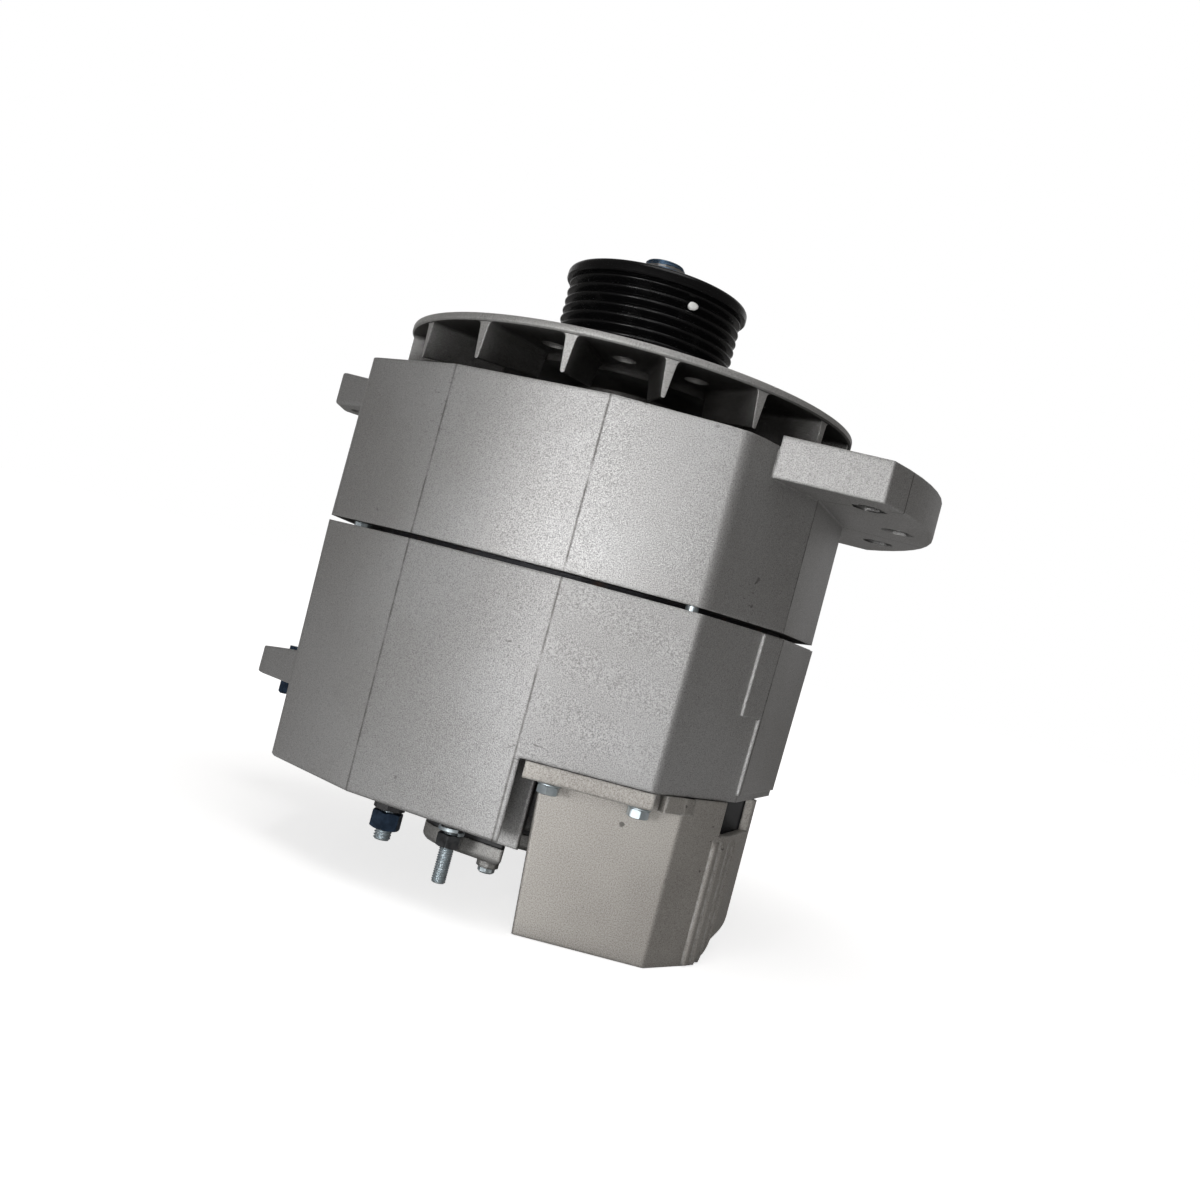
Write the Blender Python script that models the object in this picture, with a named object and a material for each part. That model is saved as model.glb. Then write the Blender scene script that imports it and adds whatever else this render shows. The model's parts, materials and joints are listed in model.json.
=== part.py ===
"""Heavy-duty belt-driven alternator with an external cast fan and an eight-groove poly-V pulley.

Units are metres. +Z runs along the shaft toward the pulley and the origin is the drive end of the
shaft. Angles in degrees are measured about the shaft from -Y toward +X.
"""

import math

import bmesh
import bpy
from mathutils import Matrix, Vector

# Clearances
CONTACT_GAP = 0.0003
MERGE = 0.000002
DRILL_LAP = 0.001
CUT_REACH = 0.15
RUNNING_GAP = 0.0005

# Shaft
SHAFT_NOSE = 0.0109
THREAD_RADIUS = 0.008
PULLEY_SEAT_RADIUS = 0.011
FRONT_JOURNAL_RADIUS = 0.0125
POLE_SEAT_RADIUS = 0.0145
REAR_JOURNAL_RADIUS = 0.0085
SHAFT_CHAMFER = 0.0014
SHAFT_REAR_LENGTH = 0.0265
KEY_WIDTH = 0.005
KEY_HEIGHT = 0.0045
KEY_LENGTH = 0.011

# Pulley
PULLEY_LENGTH = 0.0365
PULLEY_LIP_RADIUS = 0.0361
PULLEY_RIDGE_RADIUS = 0.0346
PULLEY_GROOVE_DEPTH = 0.0027
PULLEY_LIP_WIDTH = 0.0056
GROOVE_PITCH = 0.00356
GROOVE_COUNT = 8
RIDGE_FLAT = 0.0009
PULLEY_RECESS_RADIUS = 0.0255
PULLEY_RECESS_DEPTH = 0.0115
PULLEY_REAR_BORE_RADIUS = 0.0275
PULLEY_REAR_BORE_DEPTH = 0.012
NUT_FLATS = 0.024
NUT_HEIGHT = 0.013
WASHER_RADIUS = 0.0155
WASHER_THICKNESS = 0.003

# External fan
FAN_RADIUS = 0.0875
FAN_RIM = 0.0027
FAN_HUB_RISE = 0.0038
FAN_HUB_RADIUS = 0.0245
FAN_HUB_DEPTH = 0.0142
FAN_HUB_FLARE = 0.0022
FAN_STEP_RADIUS = 0.0535
FAN_STEP_DEPTH = 0.005
BLADE_COUNT = 16
BLADE_TURN = 6.6
BLADE_OUTER_RADIUS = 0.0864
BLADE_INNER_RADIUS = 0.055
BLADE_OUTER_DEPTH = 0.0156
BLADE_INNER_DEPTH = 0.0122
BLADE_ROOT_THICKNESS = 0.0036
BLADE_EDGE_THICKNESS = 0.0015
FAN_HOLE_RADIUS = 0.0042
FAN_HOLE_CIRCLE = 0.066

# Radial build of the stator, which the castings follow
STATOR_RADIUS = 0.080
STATOR_YOKE = 0.0077
SLOT_DEPTH = 0.0125
TOOTH_TIP = 0.0016
STATOR_BORE = STATOR_RADIUS - STATOR_YOKE - SLOT_DEPTH - TOOTH_TIP

# Twelve-sided body section
FACET_TURN = -21.6
FLAT_OFFSET = 21.3
FACET_WALL = 0.0084
FLAT_WALL = 0.0126
FACET_APOTHEM = STATOR_RADIUS + FACET_WALL
FLAT_APOTHEM = STATOR_RADIUS + FLAT_WALL
FRONT_CORNER_RADIUS = 0.007
REAR_CORNER_RADIUS = 0.0035
REAR_DRAFT = 0.23

# Drive-end housing
FAN_CLEARANCE = 0.0043
FRONT_WALL_LENGTH = 0.0582
FACE_THICKNESS = 0.0045
FACE_RISE = 0.0046
FACE_RISE_RADIUS = 0.045
FACE_FLAT_INSET = 0.006
FACE_FLAT_RADIUS = STATOR_RADIUS - FACE_FLAT_INSET
STATOR_LEDGE = 0.0025
CAVITY_RADIUS = STATOR_RADIUS - STATOR_LEDGE
FRONT_BOSS_WALL = 0.0065
SPACER_HOLE_CLEARANCE = 0.0035
WINDOW_COUNT = 12
WINDOW_SPAN = 19.0
WINDOW_INNER_RADIUS = 0.0465
WINDOW_OUTER_RADIUS = 0.0685
SPLIT_GAP = 0.0018

# Three-hole front ear
EAR_RADIUS = 0.125
EAR_THICKNESS = 0.0144
EAR_RISE = 0.0037
EAR_START = 44.4
EAR_END = 112.0
EAR_HOLE_CIRCLE = 0.112
EAR_HOLE_RADIUS = 0.0063
EAR_HOLE_START = 51.0
EAR_HOLE_STEP = 22.5
EAR_HOLE_COUNT = 3
EAR_FAN_CLEARANCE = 0.0022
EAR_ROOT_OVERLAP = 0.0086
EAR_ROOT_PROUD = 0.0039
EAR_ROOT_ANGLE = 32.2
EAR_FACE_STEP = 0.0006

# Hinge lugs
PIVOT_X = -0.1075
PIVOT_Y = 0.043
LUG_RADIUS = 0.0145
LUG_ROOT_RADIUS = 0.0865
LUG_ROOT_START = -93.0
LUG_ROOT_END = -128.0
PIVOT_HOLE_RADIUS = 0.0062
LUG_ROOT_DROP = 0.0006
REAR_LUG_TIP = 0.0105
REAR_LUG_ROOT = 0.0165
REAR_LUG_DROP = 0.0085
LOCK_SCREW_RADIUS = 0.0022
LOCK_SCREW_LENGTH = 0.020
LOCK_SCREW_OFFSET = 0.011
LOCK_SCREW_DROP = 0.0057

# Bearings
FRONT_BEARING_RADIUS = 0.031
FRONT_BEARING_WIDTH = 0.017
REAR_BEARING_RADIUS = 0.020
REAR_BEARING_WIDTH = 0.012
RACE_THICKNESS = 0.0045
BALLS_FRONT = 7
BALLS_REAR = 7
RETAINER_THICKNESS = 0.0025
RETAINER_INNER_RADIUS = 0.019
RETAINER_SCREWS = 3
BALL_FACETED_SHARE = 0.97

# Stator
STATOR_LENGTH = 0.060
SLOT_COUNT = 36
SLOT_WIDTH = 0.0052
SLOT_MOUTH = 0.0024
WINDING_OVERHANG = 0.0195
WINDING_WALL = 0.0135
WINDING_LOBE = 0.0012

# Rotor
AIR_GAP = 0.0006
CLAWS = 6
POLE_LENGTH = 0.056
POLE_DISC_THICKNESS = 0.014
POLE_DISC_RADIUS = 0.0455
CLAW_ROOT_THICKNESS = 0.013
CLAW_TIP_THICKNESS = 0.004
CLAW_ROOT_HALF_ANGLE = 19.0
CLAW_TIP_HALF_ANGLE = 7.5
CLAW_TIP_INSET = 0.004
COIL_RADIUS = 0.0405
SLIP_RING_RADIUS = 0.014
SLIP_RING_WIDTH = 0.006
SLIP_RING_PITCH = 0.010
SLEEVE_WALL = 0.0027

# Slip-ring-end housing
REAR_WALL_LENGTH = 0.0586
SKIRT_LENGTH = 0.0279
SKIRT_INSET = 0.004
SKIRT_INNER_RADIUS = STATOR_RADIUS - SKIRT_INSET
SKIRT_EDGE_BREAK = 0.0007
END_PLATE_THICKNESS = 0.0074
REAR_BOSS_WALL = 0.006
REAR_BOSS_CHAMFER = 0.0025
REAR_SHOULDER_LAP = 0.002
SKIRT_CUT_BELOW = 0.004
NOTCH_X = -0.0044
NOTCH_Y = 0.030
REAR_VENT_COUNT = 10
REAR_VENT_SPAN = 20.0
REAR_VENT_INNER_RADIUS = 0.038
REAR_VENT_OUTER_RADIUS = 0.060
STEP_PROUD = 0.0009
STEP_DEPTH = 0.003
STEP_LAP_HIGH = 0.0118
STEP_LAP_LOW = 0.0012
STEP_RETURN = 0.016
STEP_END = 0.0026
STEP_JOG_DEPTH = 0.0287

# Brush bay and rear cover, square to the centre facet
BAY_FRONT = 0.063
BAY_BACK = -0.030
BAY_LEFT_FRONT = -0.018
BAY_LEFT_BACK = -0.0245
BAY_WALL = 0.0065
BAY_RIGHT = 0.0225
BAY_DEPTH = 0.0327
GASKET_THICKNESS = 0.002
COVER_THICKNESS = 0.006
COVER_INSET = 0.0045
COVER_CORNER_RADIUS = 0.012
COVER_EDGE_ROUND = 0.002
COVER_SCREW_RADIUS = 0.0018
COVER_SCREW_ALONG = 0.0145
COVER_SCREW_OUTWARD = 0.0532
COVER_SCREW_INSET = 0.003
COVER_SCREW_GRIP = 0.008
COVER_SCREW_DRILL = 0.010
COVER_POST_RADIUS = 0.0052
COVER_BOSS_RADIUS = 0.0039
COVER_BOSS_HEIGHT = 0.0021
SCREW_HEAD_RADIUS = 0.003
SCREW_HEAD_HEIGHT = 0.0018

# Brushes
HOLDER_INNER = 0.023
HOLDER_OUTER = 0.0475
HOLDER_WIDTH = 0.009
BRUSH_WIDTH = 0.0055
BRUSH_REACH = 0.012

# Regulator box
BOX_LEFT_TOP = 0.003
BOX_LEFT_BOTTOM = 0.0075
BOX_FRONT = 0.080
BOX_BACK = 0.0285
BOX_DEPTH = 0.0568
BOX_WALL = 0.003
BOX_PROUD = 0.0009
BOX_FOOT_RADIUS = 0.013
FLANGE_THICKNESS = 0.0054
FLANGE_CORNER_RADIUS = 0.0006
FLANGE_LEFT = -0.0023
FLANGE_RIGHT = 0.0405
BOX_BOLT_LEFT = 0.0068
BOX_BOLT_RIGHT = 0.0366
BOX_BOLT_INSET = 0.0049
BOX_BOLT_RADIUS = 0.003
BOX_BOLT_GRIP = 0.011
BOX_BOLT_FLATS = 0.010
BOX_BOLT_HEAD = 0.004
BOX_WASHER_RADIUS = 0.0056
BOX_WASHER_THICKNESS = 0.0009
BOX_HORN_X = 0.0448
BOX_WINDOW_HEIGHT = 0.0116
BOX_WINDOW_START = 0.0675
BOX_WINDOW_MARGIN = 0.004
FIN_COUNT = 4
FIN_PITCH = 0.0052
FIN_WIDTH = 0.0026
FIN_PROUD = 0.0011
FIN_START = 0.0035
FIN_DROP = 0.0135
MODULE_LENGTH = 0.034
MODULE_WIDTH = 0.024
MODULE_CORNER_RADIUS = 0.002
MODULE_HEIGHT = 0.030

# Rectifier
SINK_THICKNESS = 0.003
SINK_STANDOFF = 0.004
SINK_SPACING = 0.0125
SINK_OUTER_RADIUS = 0.0735
SINK_BAND_RADIUS = 0.0646
SINK_INNER_RADIUS = 0.032
SINK_START = -151.6
SINK_BAND_START = -72.0
SINK_END = -13.0
DIODE_RADIUS = 0.0062
DIODE_CIRCLE = 0.052
DIODE_HEIGHT = 0.0055
DIODE_FIRST = -90.0
DIODE_STEP = -42.0

# Terminals
OUTPUT_STUD_RADIUS = 0.003
OUTPUT_STUD_X = -0.0437
OUTPUT_STUD_Y = -0.0545
OUTPUT_NUT_FLATS = 0.010
OUTPUT_NUT_HEIGHT = 0.0063
OUTPUT_BUSH_RADIUS = 0.0055
OUTPUT_STUD_BELOW = 0.0038
SIGNAL_STUD_RADIUS = 0.0025
SIGNAL_STUD_X = -0.0205
SIGNAL_STUD_Y = -0.0655
SIGNAL_NUT_FLATS = 0.008
SIGNAL_NUT_HEIGHT = 0.0046
SIGNAL_BUSH_RADIUS = 0.0038
SIGNAL_STUD_BELOW = 0.0123
TERMINAL_NUT_TOP = 0.0335
STUD_ANCHOR = 0.005

# Through bolts
THROUGH_BOLT_RADIUS = 0.003
THROUGH_BOLT_OUTSET = 0.0088
THROUGH_BOLT_CIRCLE = STATOR_RADIUS + THROUGH_BOLT_OUTSET
THROUGH_BOLT_GRIP = 0.022
THROUGH_HEAD_DEPTH = 0.007
THROUGH_HEAD_FLATS = 0.009
SMALL_SCREW_RADIUS = 0.002
SMALL_HEAD_FLATS = 0.007
SMALL_HEAD_HEIGHT = 0.0022

# Facets around one turn
FINE = 40
ROUND = 24
MEDIUM = 16
SMALL = 8
COIL_LOBES = 18

# Heights that follow from the sizes above
PULLEY_FRONT = -SHAFT_NOSE
PULLEY_REAR = PULLEY_FRONT - PULLEY_LENGTH
FAN_TOP = PULLEY_REAR - CONTACT_GAP - FAN_HUB_RISE
FAN_HUB_BOTTOM = FAN_TOP - FAN_HUB_DEPTH
FACE_TOP = FAN_TOP - BLADE_OUTER_DEPTH - FAN_CLEARANCE
FACE_CREST = FACE_TOP + FACE_RISE
SPLIT_FRONT = FACE_TOP - FRONT_WALL_LENGTH
SPLIT_REAR = SPLIT_FRONT - SPLIT_GAP
SPLIT_MIDDLE = (SPLIT_FRONT + SPLIT_REAR) / 2
STATOR_TOP = SPLIT_MIDDLE + STATOR_LENGTH / 2
STATOR_BOTTOM = SPLIT_MIDDLE - STATOR_LENGTH / 2
FRONT_BEARING_TOP = FACE_CREST - FRONT_BOSS_WALL
FRONT_BEARING_BOTTOM = FRONT_BEARING_TOP - FRONT_BEARING_WIDTH
POLE_TOP = SPLIT_MIDDLE + POLE_LENGTH / 2
POLE_BOTTOM = SPLIT_MIDDLE - POLE_LENGTH / 2
REAR_WALL_BOTTOM = SPLIT_REAR - REAR_WALL_LENGTH
END_PLATE_TOP = REAR_WALL_BOTTOM + END_PLATE_THICKNESS
SKIRT_BOTTOM = REAR_WALL_BOTTOM - SKIRT_LENGTH
REAR_LUG_BOTTOM = REAR_WALL_BOTTOM - REAR_LUG_DROP
REAR_BEARING_BOTTOM = REAR_WALL_BOTTOM + RUNNING_GAP
REAR_BEARING_TOP = REAR_BEARING_BOTTOM + REAR_BEARING_WIDTH
SHAFT_BOTTOM = REAR_WALL_BOTTOM - SHAFT_REAR_LENGTH
BAY_BOTTOM = REAR_WALL_BOTTOM - BAY_DEPTH
COVER_TOP = BAY_BOTTOM - GASKET_THICKNESS - 2 * CONTACT_GAP
COVER_BOTTOM = COVER_TOP - COVER_THICKNESS
BOX_TOP = REAR_WALL_BOTTOM - CONTACT_GAP
BOX_BOTTOM = BOX_TOP - BOX_DEPTH
EAR_TOP = FACE_TOP + EAR_RISE
EAR_BOTTOM = EAR_TOP - EAR_THICKNESS


def unit(angle):
    """Direction of an angle in degrees, from -Y toward +X."""
    turn = math.radians(angle)
    return Vector((math.sin(turn), -math.cos(turn)))


def polar(radius, angle):
    return unit(angle) * radius


def turned_frame(along, outward):
    """A point given along and outward of the centre facet, in the frame of the part."""
    return unit(FACET_TURN + 90) * along + unit(FACET_TURN) * outward


def material(name, colour, metallic, roughness):
    made = bpy.data.materials.new(name)
    made.use_nodes = True
    shader = made.node_tree.nodes["Principled BSDF"]
    shader.inputs["Base Color"].default_value = (*colour, 1)
    shader.inputs["Metallic"].default_value = metallic
    shader.inputs["Roughness"].default_value = roughness
    made.diffuse_color = (*colour, 1)
    return made


def finish(bm, name, surface=None, parent=None, smooth=None):
    """Turns a bmesh into a named object, with its faces pointing out."""
    bmesh.ops.recalc_face_normals(bm, faces=bm.faces)
    mesh = bpy.data.meshes.new(name)
    bm.to_mesh(mesh)
    bm.free()
    return place(mesh, name, surface, parent, smooth)


def place(mesh, name, surface=None, parent=None, smooth=None):
    if smooth is not None:
        mesh.shade_smooth()
        mesh.set_sharp_from_angle(angle=math.radians(smooth))
    made = bpy.data.objects.new(name, mesh)
    bpy.context.scene.collection.objects.link(made)
    if surface is not None and not mesh.materials:
        mesh.materials.append(surface)
    made.parent = parent
    return made


def turn_profile(bm, profile, steps):
    """Adds the solid that (radius, height) points sweep around Z."""
    ring = [bm.verts.new((radius, 0, height)) for radius, height in profile]
    pairs = list(zip(ring, ring[1:]))
    if profile[0][0] > 0 or profile[-1][0] > 0:
        pairs.append((ring[-1], ring[0]))
    edges = [bm.edges.new(pair) for pair in pairs]
    bmesh.ops.spin(
        bm, geom=ring + edges, axis=(0, 0, 1), cent=(0, 0, 0), angle=math.tau, steps=steps
    )
    bmesh.ops.remove_doubles(bm, verts=bm.verts, dist=MERGE)
    return bm


def turned(name, profile, steps, surface=None, parent=None, smooth=40):
    return finish(turn_profile(bmesh.new(), profile, steps), name, surface, parent, smooth)


def add_loft(bm, levels):
    """Adds a closed solid through outlines of equal point count, each with its height."""
    rings = [[bm.verts.new((x, y, z)) for x, y in outline] for outline, z in levels]
    for low, high in zip(rings, rings[1:]):
        for i in range(len(low)):
            j = (i + 1) % len(low)
            bm.faces.new((low[i], low[j], high[j], high[i]))
    bm.faces.new(rings[0])
    bm.faces.new(rings[-1])
    return bm


def loft(name, levels, surface=None, parent=None, smooth=None):
    return finish(add_loft(bmesh.new(), levels), name, surface, parent, smooth)


def prism(name, outline, bottom, top, surface=None, parent=None, smooth=None):
    return loft(name, [(outline, bottom), (outline, top)], surface, parent, smooth)


def add_hull(bm, points):
    """Adds the convex solid around the points."""
    verts = [bm.verts.new(point) for point in points]
    made = bmesh.ops.convex_hull(bm, input=verts)
    inside = [item for item in made["geom_interior"] if isinstance(item, bmesh.types.BMVert)]
    bmesh.ops.delete(bm, geom=inside, context="VERTS")
    return bm


def add_hulls(groups):
    """Joins one convex solid for each group of points in a new mesh."""
    joined = bmesh.new()
    for points in groups:
        single = add_hull(bmesh.new(), points)
        mesh = bpy.data.meshes.new("hull")
        single.to_mesh(mesh)
        single.free()
        joined.from_mesh(mesh)
    return joined


def rounded(points, radius, steps=4):
    """The outline with an arc of the radius at each corner."""
    outline = []
    for i, corner in enumerate(points):
        corner = Vector(corner)
        back = (Vector(points[i - 1]) - corner).normalized()
        ahead = (Vector(points[(i + 1) % len(points)]) - corner).normalized()
        here = radius[i] if isinstance(radius, (list, tuple)) else radius
        if here <= 0:
            outline.append(corner)
            continue
        half = back.angle(ahead) / 2
        centre = corner + (back + ahead).normalized() * (here / math.sin(half))
        start = corner + back * (here / math.tan(half)) - centre
        finish_at = corner + ahead * (here / math.tan(half)) - centre
        sweep = start.angle_signed(finish_at)
        for step in range(steps + 1):
            arm = start.copy()
            arm.rotate(Matrix.Rotation(-sweep * step / steps, 2))
            outline.append(centre + arm)
    return outline


def arc(radius, start, end, steps):
    return [polar(radius, start + (end - start) * i / steps) for i in range(steps + 1)]


def sector(inner, outer, start, end, steps):
    """Outline of a ring's piece between two angles."""
    return arc(outer, start, end, steps) + arc(inner, end, start, steps)


def circle(centre, radius, steps):
    return [Vector(centre) + polar(radius, 360 * i / steps) for i in range(steps)]


def body_planes(scale):
    """Normal angle and apothem of each side of the body, in order round the shaft."""
    planes = []
    for quarter in range(4):
        middle = FACET_TURN + 90 * quarter
        planes.append((middle - FLAT_OFFSET, FLAT_APOTHEM * scale))
        planes.append((middle, FACET_APOTHEM * scale))
        planes.append((middle + FLAT_OFFSET, FLAT_APOTHEM * scale))
    return planes


def meet(first, second):
    """Where two sides, each a normal angle and an apothem, cross."""
    (a, reach_a), (b, reach_b) = first, second
    n, m = unit(a), unit(b)
    det = n.x * m.y - n.y * m.x
    return Vector(((reach_a * m.y - reach_b * n.y) / det, (n.x * reach_b - m.x * reach_a) / det))


def body_outline(scale, corner_radius):
    """The section at a scale; every level has the same shape, so the drafted sides stay flat."""
    planes = body_planes(1)
    corners = [meet(planes[i - 1], planes[i]) for i in range(len(planes))]
    radii = [corner_radius if i % 3 == 0 else 0 for i in range(len(planes))]
    return [point * scale for point in rounded(corners, radii, 3)]


def rear_scale(height):
    """Share of the body's section that the draft of the rear casting leaves at a height."""
    return 1 - REAR_DRAFT * (SPLIT_REAR - height)


def boolean(target, other, operation):
    """Joins or cuts with a helper object, which stays hidden in renders."""
    other.hide_render = True
    other.display_type = "WIRE"
    step = target.modifiers.new(f"{operation} {other.name}", "BOOLEAN")
    step.operation = operation
    step.solver = "EXACT"
    step.object = other


def helper(bm, name):
    return finish(bm, f"helper {name}")


def hexagon(flats, turn=0.0):
    return [polar(flats / math.sqrt(3), 60 * i + turn) for i in range(6)]


def bolt_mesh(name, radius, length, head_height, flats, surface, turn=0.0):
    """A hexagon bolt, its head under the origin and its shank above."""
    bm = bmesh.new()
    shank = circle((0, 0), radius, SMALL)
    head = hexagon(flats, turn)
    crown = [point * 0.9 for point in head]
    add_loft(bm, [(crown, -head_height), (head, -head_height * 0.8), (head, 0)])
    hexa = finish(bm, f"helper {name} head")
    bm = add_loft(bmesh.new(), [(shank, -head_height / 2), (shank, length)])
    made = finish(bm, name, surface, smooth=40)
    boolean(made, hexa, "UNION")
    return apply_all(made)


def apply_all(target):
    """Keeps the evaluated shape as the mesh, so that copies can share it."""
    graph = bpy.context.evaluated_depsgraph_get()
    mesh = bpy.data.meshes.new_from_object(target.evaluated_get(graph))
    helpers = [step.object for step in target.modifiers]
    target.modifiers.clear()
    target.data = mesh
    for other in helpers:
        bpy.data.objects.remove(other)
    return target


def repeat(first, names, places, turns=None):
    """Puts the first piece at the first place and copies that share its mesh at the others."""
    pieces = [first]
    for name in names[1:]:
        pieces.append(place(first.data, name, parent=first.parent))
    for i, (piece, spot) in enumerate(zip(pieces, places)):
        piece.location = spot
        if turns:
            piece.rotation_euler.z = math.radians(turns[i])
    return pieces


def make_shaft(steel, rotor):
    step_top = PULLEY_FRONT - PULLEY_RECESS_DEPTH - CONTACT_GAP
    journal_top = FAN_HUB_BOTTOM - CONTACT_GAP
    seat_top = FRONT_BEARING_BOTTOM - CONTACT_GAP
    seat_bottom = REAR_BEARING_TOP + CONTACT_GAP
    profile = [
        (0, 0),
        (THREAD_RADIUS - SHAFT_CHAMFER, 0),
        (THREAD_RADIUS, -SHAFT_CHAMFER),
        (THREAD_RADIUS, step_top),
        (PULLEY_SEAT_RADIUS, step_top),
        (PULLEY_SEAT_RADIUS, journal_top),
        (FRONT_JOURNAL_RADIUS, journal_top),
        (FRONT_JOURNAL_RADIUS, seat_top),
        (POLE_SEAT_RADIUS, seat_top),
        (POLE_SEAT_RADIUS, seat_bottom),
        (REAR_JOURNAL_RADIUS, seat_bottom),
        (REAR_JOURNAL_RADIUS, SHAFT_BOTTOM + SHAFT_CHAMFER),
        (REAR_JOURNAL_RADIUS - SHAFT_CHAMFER, SHAFT_BOTTOM),
        (0, SHAFT_BOTTOM),
    ]
    shaft = turned("shaft", profile, MEDIUM, steel, rotor)
    key_bottom = PULLEY_REAR + PULLEY_REAR_BORE_DEPTH + 0.001
    slot = [
        (-KEY_WIDTH / 2 - CONTACT_GAP, -PULLEY_SEAT_RADIUS * 2),
        (KEY_WIDTH / 2 + CONTACT_GAP, -PULLEY_SEAT_RADIUS * 2),
        (KEY_WIDTH / 2 + CONTACT_GAP, -PULLEY_SEAT_RADIUS + KEY_HEIGHT / 2 + CONTACT_GAP),
        (-KEY_WIDTH / 2 - CONTACT_GAP, -PULLEY_SEAT_RADIUS + KEY_HEIGHT / 2 + CONTACT_GAP),
    ]
    groove = add_loft(
        bmesh.new(),
        [(slot, key_bottom - CONTACT_GAP), (slot, key_bottom + KEY_LENGTH)],
    )
    boolean(shaft, helper(groove, "keyway"), "DIFFERENCE")
    return key_bottom


def make_key(steel, rotor, bottom):
    outline = [
        (-KEY_WIDTH / 2, -PULLEY_SEAT_RADIUS - KEY_HEIGHT / 2),
        (KEY_WIDTH / 2, -PULLEY_SEAT_RADIUS - KEY_HEIGHT / 2),
        (KEY_WIDTH / 2, -PULLEY_SEAT_RADIUS + KEY_HEIGHT / 2),
        (-KEY_WIDTH / 2, -PULLEY_SEAT_RADIUS + KEY_HEIGHT / 2),
    ]
    prism("pulley_key", outline, bottom, bottom + KEY_LENGTH - 2 * CONTACT_GAP, steel, rotor)


def pulley_profile():
    """Front lip, ridges and grooves down the outside, then the rear bore, the hub and the recess."""
    lip = PULLEY_LIP_WIDTH
    profile = []
    for i in range(4):
        bend = math.radians(90 * i / 3)
        profile.append(
            (
                PULLEY_LIP_RADIUS - lip * 0.4 * (1 - math.sin(bend)),
                PULLEY_FRONT - lip * 0.4 * (1 - math.cos(bend)),
            )
        )
    profile.append((PULLEY_LIP_RADIUS, PULLEY_FRONT - lip * 0.8))
    ridge = PULLEY_FRONT - lip - RIDGE_FLAT / 2
    profile.append((PULLEY_RIDGE_RADIUS, ridge + RIDGE_FLAT / 2))
    for i in range(GROOVE_COUNT):
        profile.append((PULLEY_RIDGE_RADIUS, ridge - RIDGE_FLAT / 2 - GROOVE_PITCH * i))
        middle = ridge - GROOVE_PITCH * (i + 0.5)
        profile.append((PULLEY_RIDGE_RADIUS - PULLEY_GROOVE_DEPTH, middle))
        profile.append((PULLEY_RIDGE_RADIUS, ridge - GROOVE_PITCH * (i + 1) + RIDGE_FLAT / 2))
    bore = PULLEY_SEAT_RADIUS + CONTACT_GAP
    profile += [
        (PULLEY_RIDGE_RADIUS, PULLEY_REAR),
        (PULLEY_REAR_BORE_RADIUS, PULLEY_REAR),
        (PULLEY_REAR_BORE_RADIUS, PULLEY_REAR + PULLEY_REAR_BORE_DEPTH),
        (FAN_HUB_RADIUS - 0.004, PULLEY_REAR + PULLEY_REAR_BORE_DEPTH),
        (FAN_HUB_RADIUS - 0.004, PULLEY_REAR),
        (bore, PULLEY_REAR),
        (bore, PULLEY_FRONT - PULLEY_RECESS_DEPTH),
        (PULLEY_RECESS_RADIUS, PULLEY_FRONT - PULLEY_RECESS_DEPTH),
        (PULLEY_RECESS_RADIUS, PULLEY_FRONT),
    ]
    return profile


def make_pulley(black, rotor, key_bottom):
    pulley = turned("pulley", pulley_profile(), ROUND, black, rotor, 25)
    half = KEY_WIDTH / 2 + CONTACT_GAP
    deep = PULLEY_SEAT_RADIUS + KEY_HEIGHT / 2 + CONTACT_GAP
    slot = [(-half, -deep), (half, -deep), (half, -PULLEY_SEAT_RADIUS / 2), (-half, -PULLEY_SEAT_RADIUS / 2)]
    levels = [(slot, PULLEY_REAR - PULLEY_LENGTH / 4), (slot, key_bottom + KEY_LENGTH)]
    boolean(pulley, helper(add_loft(bmesh.new(), levels), "pulley keyway"), "DIFFERENCE")


def make_pulley_nut(zinc, rotor):
    floor = PULLEY_FRONT - PULLEY_RECESS_DEPTH + CONTACT_GAP
    bore = THREAD_RADIUS + CONTACT_GAP
    ring = [
        (bore, floor),
        (WASHER_RADIUS, floor),
        (WASHER_RADIUS, floor + WASHER_THICKNESS),
        (bore, floor + WASHER_THICKNESS),
    ]
    turned("pulley_washer", ring, MEDIUM, zinc, rotor)
    low = floor + WASHER_THICKNESS + CONTACT_GAP
    outline = hexagon(NUT_FLATS)
    crown = [point * 0.9 for point in outline]
    chamfer = NUT_HEIGHT * 0.12
    nut = loft(
        "pulley_nut",
        [
            (crown, low),
            (outline, low + chamfer),
            (outline, low + NUT_HEIGHT - chamfer),
            (crown, low + NUT_HEIGHT),
        ],
        zinc,
        rotor,
    )
    hole = circle((0, 0), bore, MEDIUM)
    levels = [(hole, low - NUT_HEIGHT), (hole, low + 2 * NUT_HEIGHT)]
    boolean(nut, helper(add_loft(bmesh.new(), levels), "nut thread"), "DIFFERENCE")


def blade_points(angle):
    """Corners of one fan blade, thick at the disc and thin at its free edge."""
    middle = unit(angle)
    side = unit(angle + 90)
    points = []
    root = FAN_TOP - FAN_RIM / 2
    edges = ((BLADE_INNER_RADIUS, BLADE_INNER_DEPTH), (BLADE_OUTER_RADIUS, BLADE_OUTER_DEPTH))
    for radius, depth in edges:
        spread = ((BLADE_ROOT_THICKNESS / 2, root), (BLADE_EDGE_THICKNESS / 2, FAN_TOP - depth))
        for half, height in spread:
            for sign in (-1, 1):
                spot = middle * radius + side * half * sign
                points.append((spot.x, spot.y, height))
    return points


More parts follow.
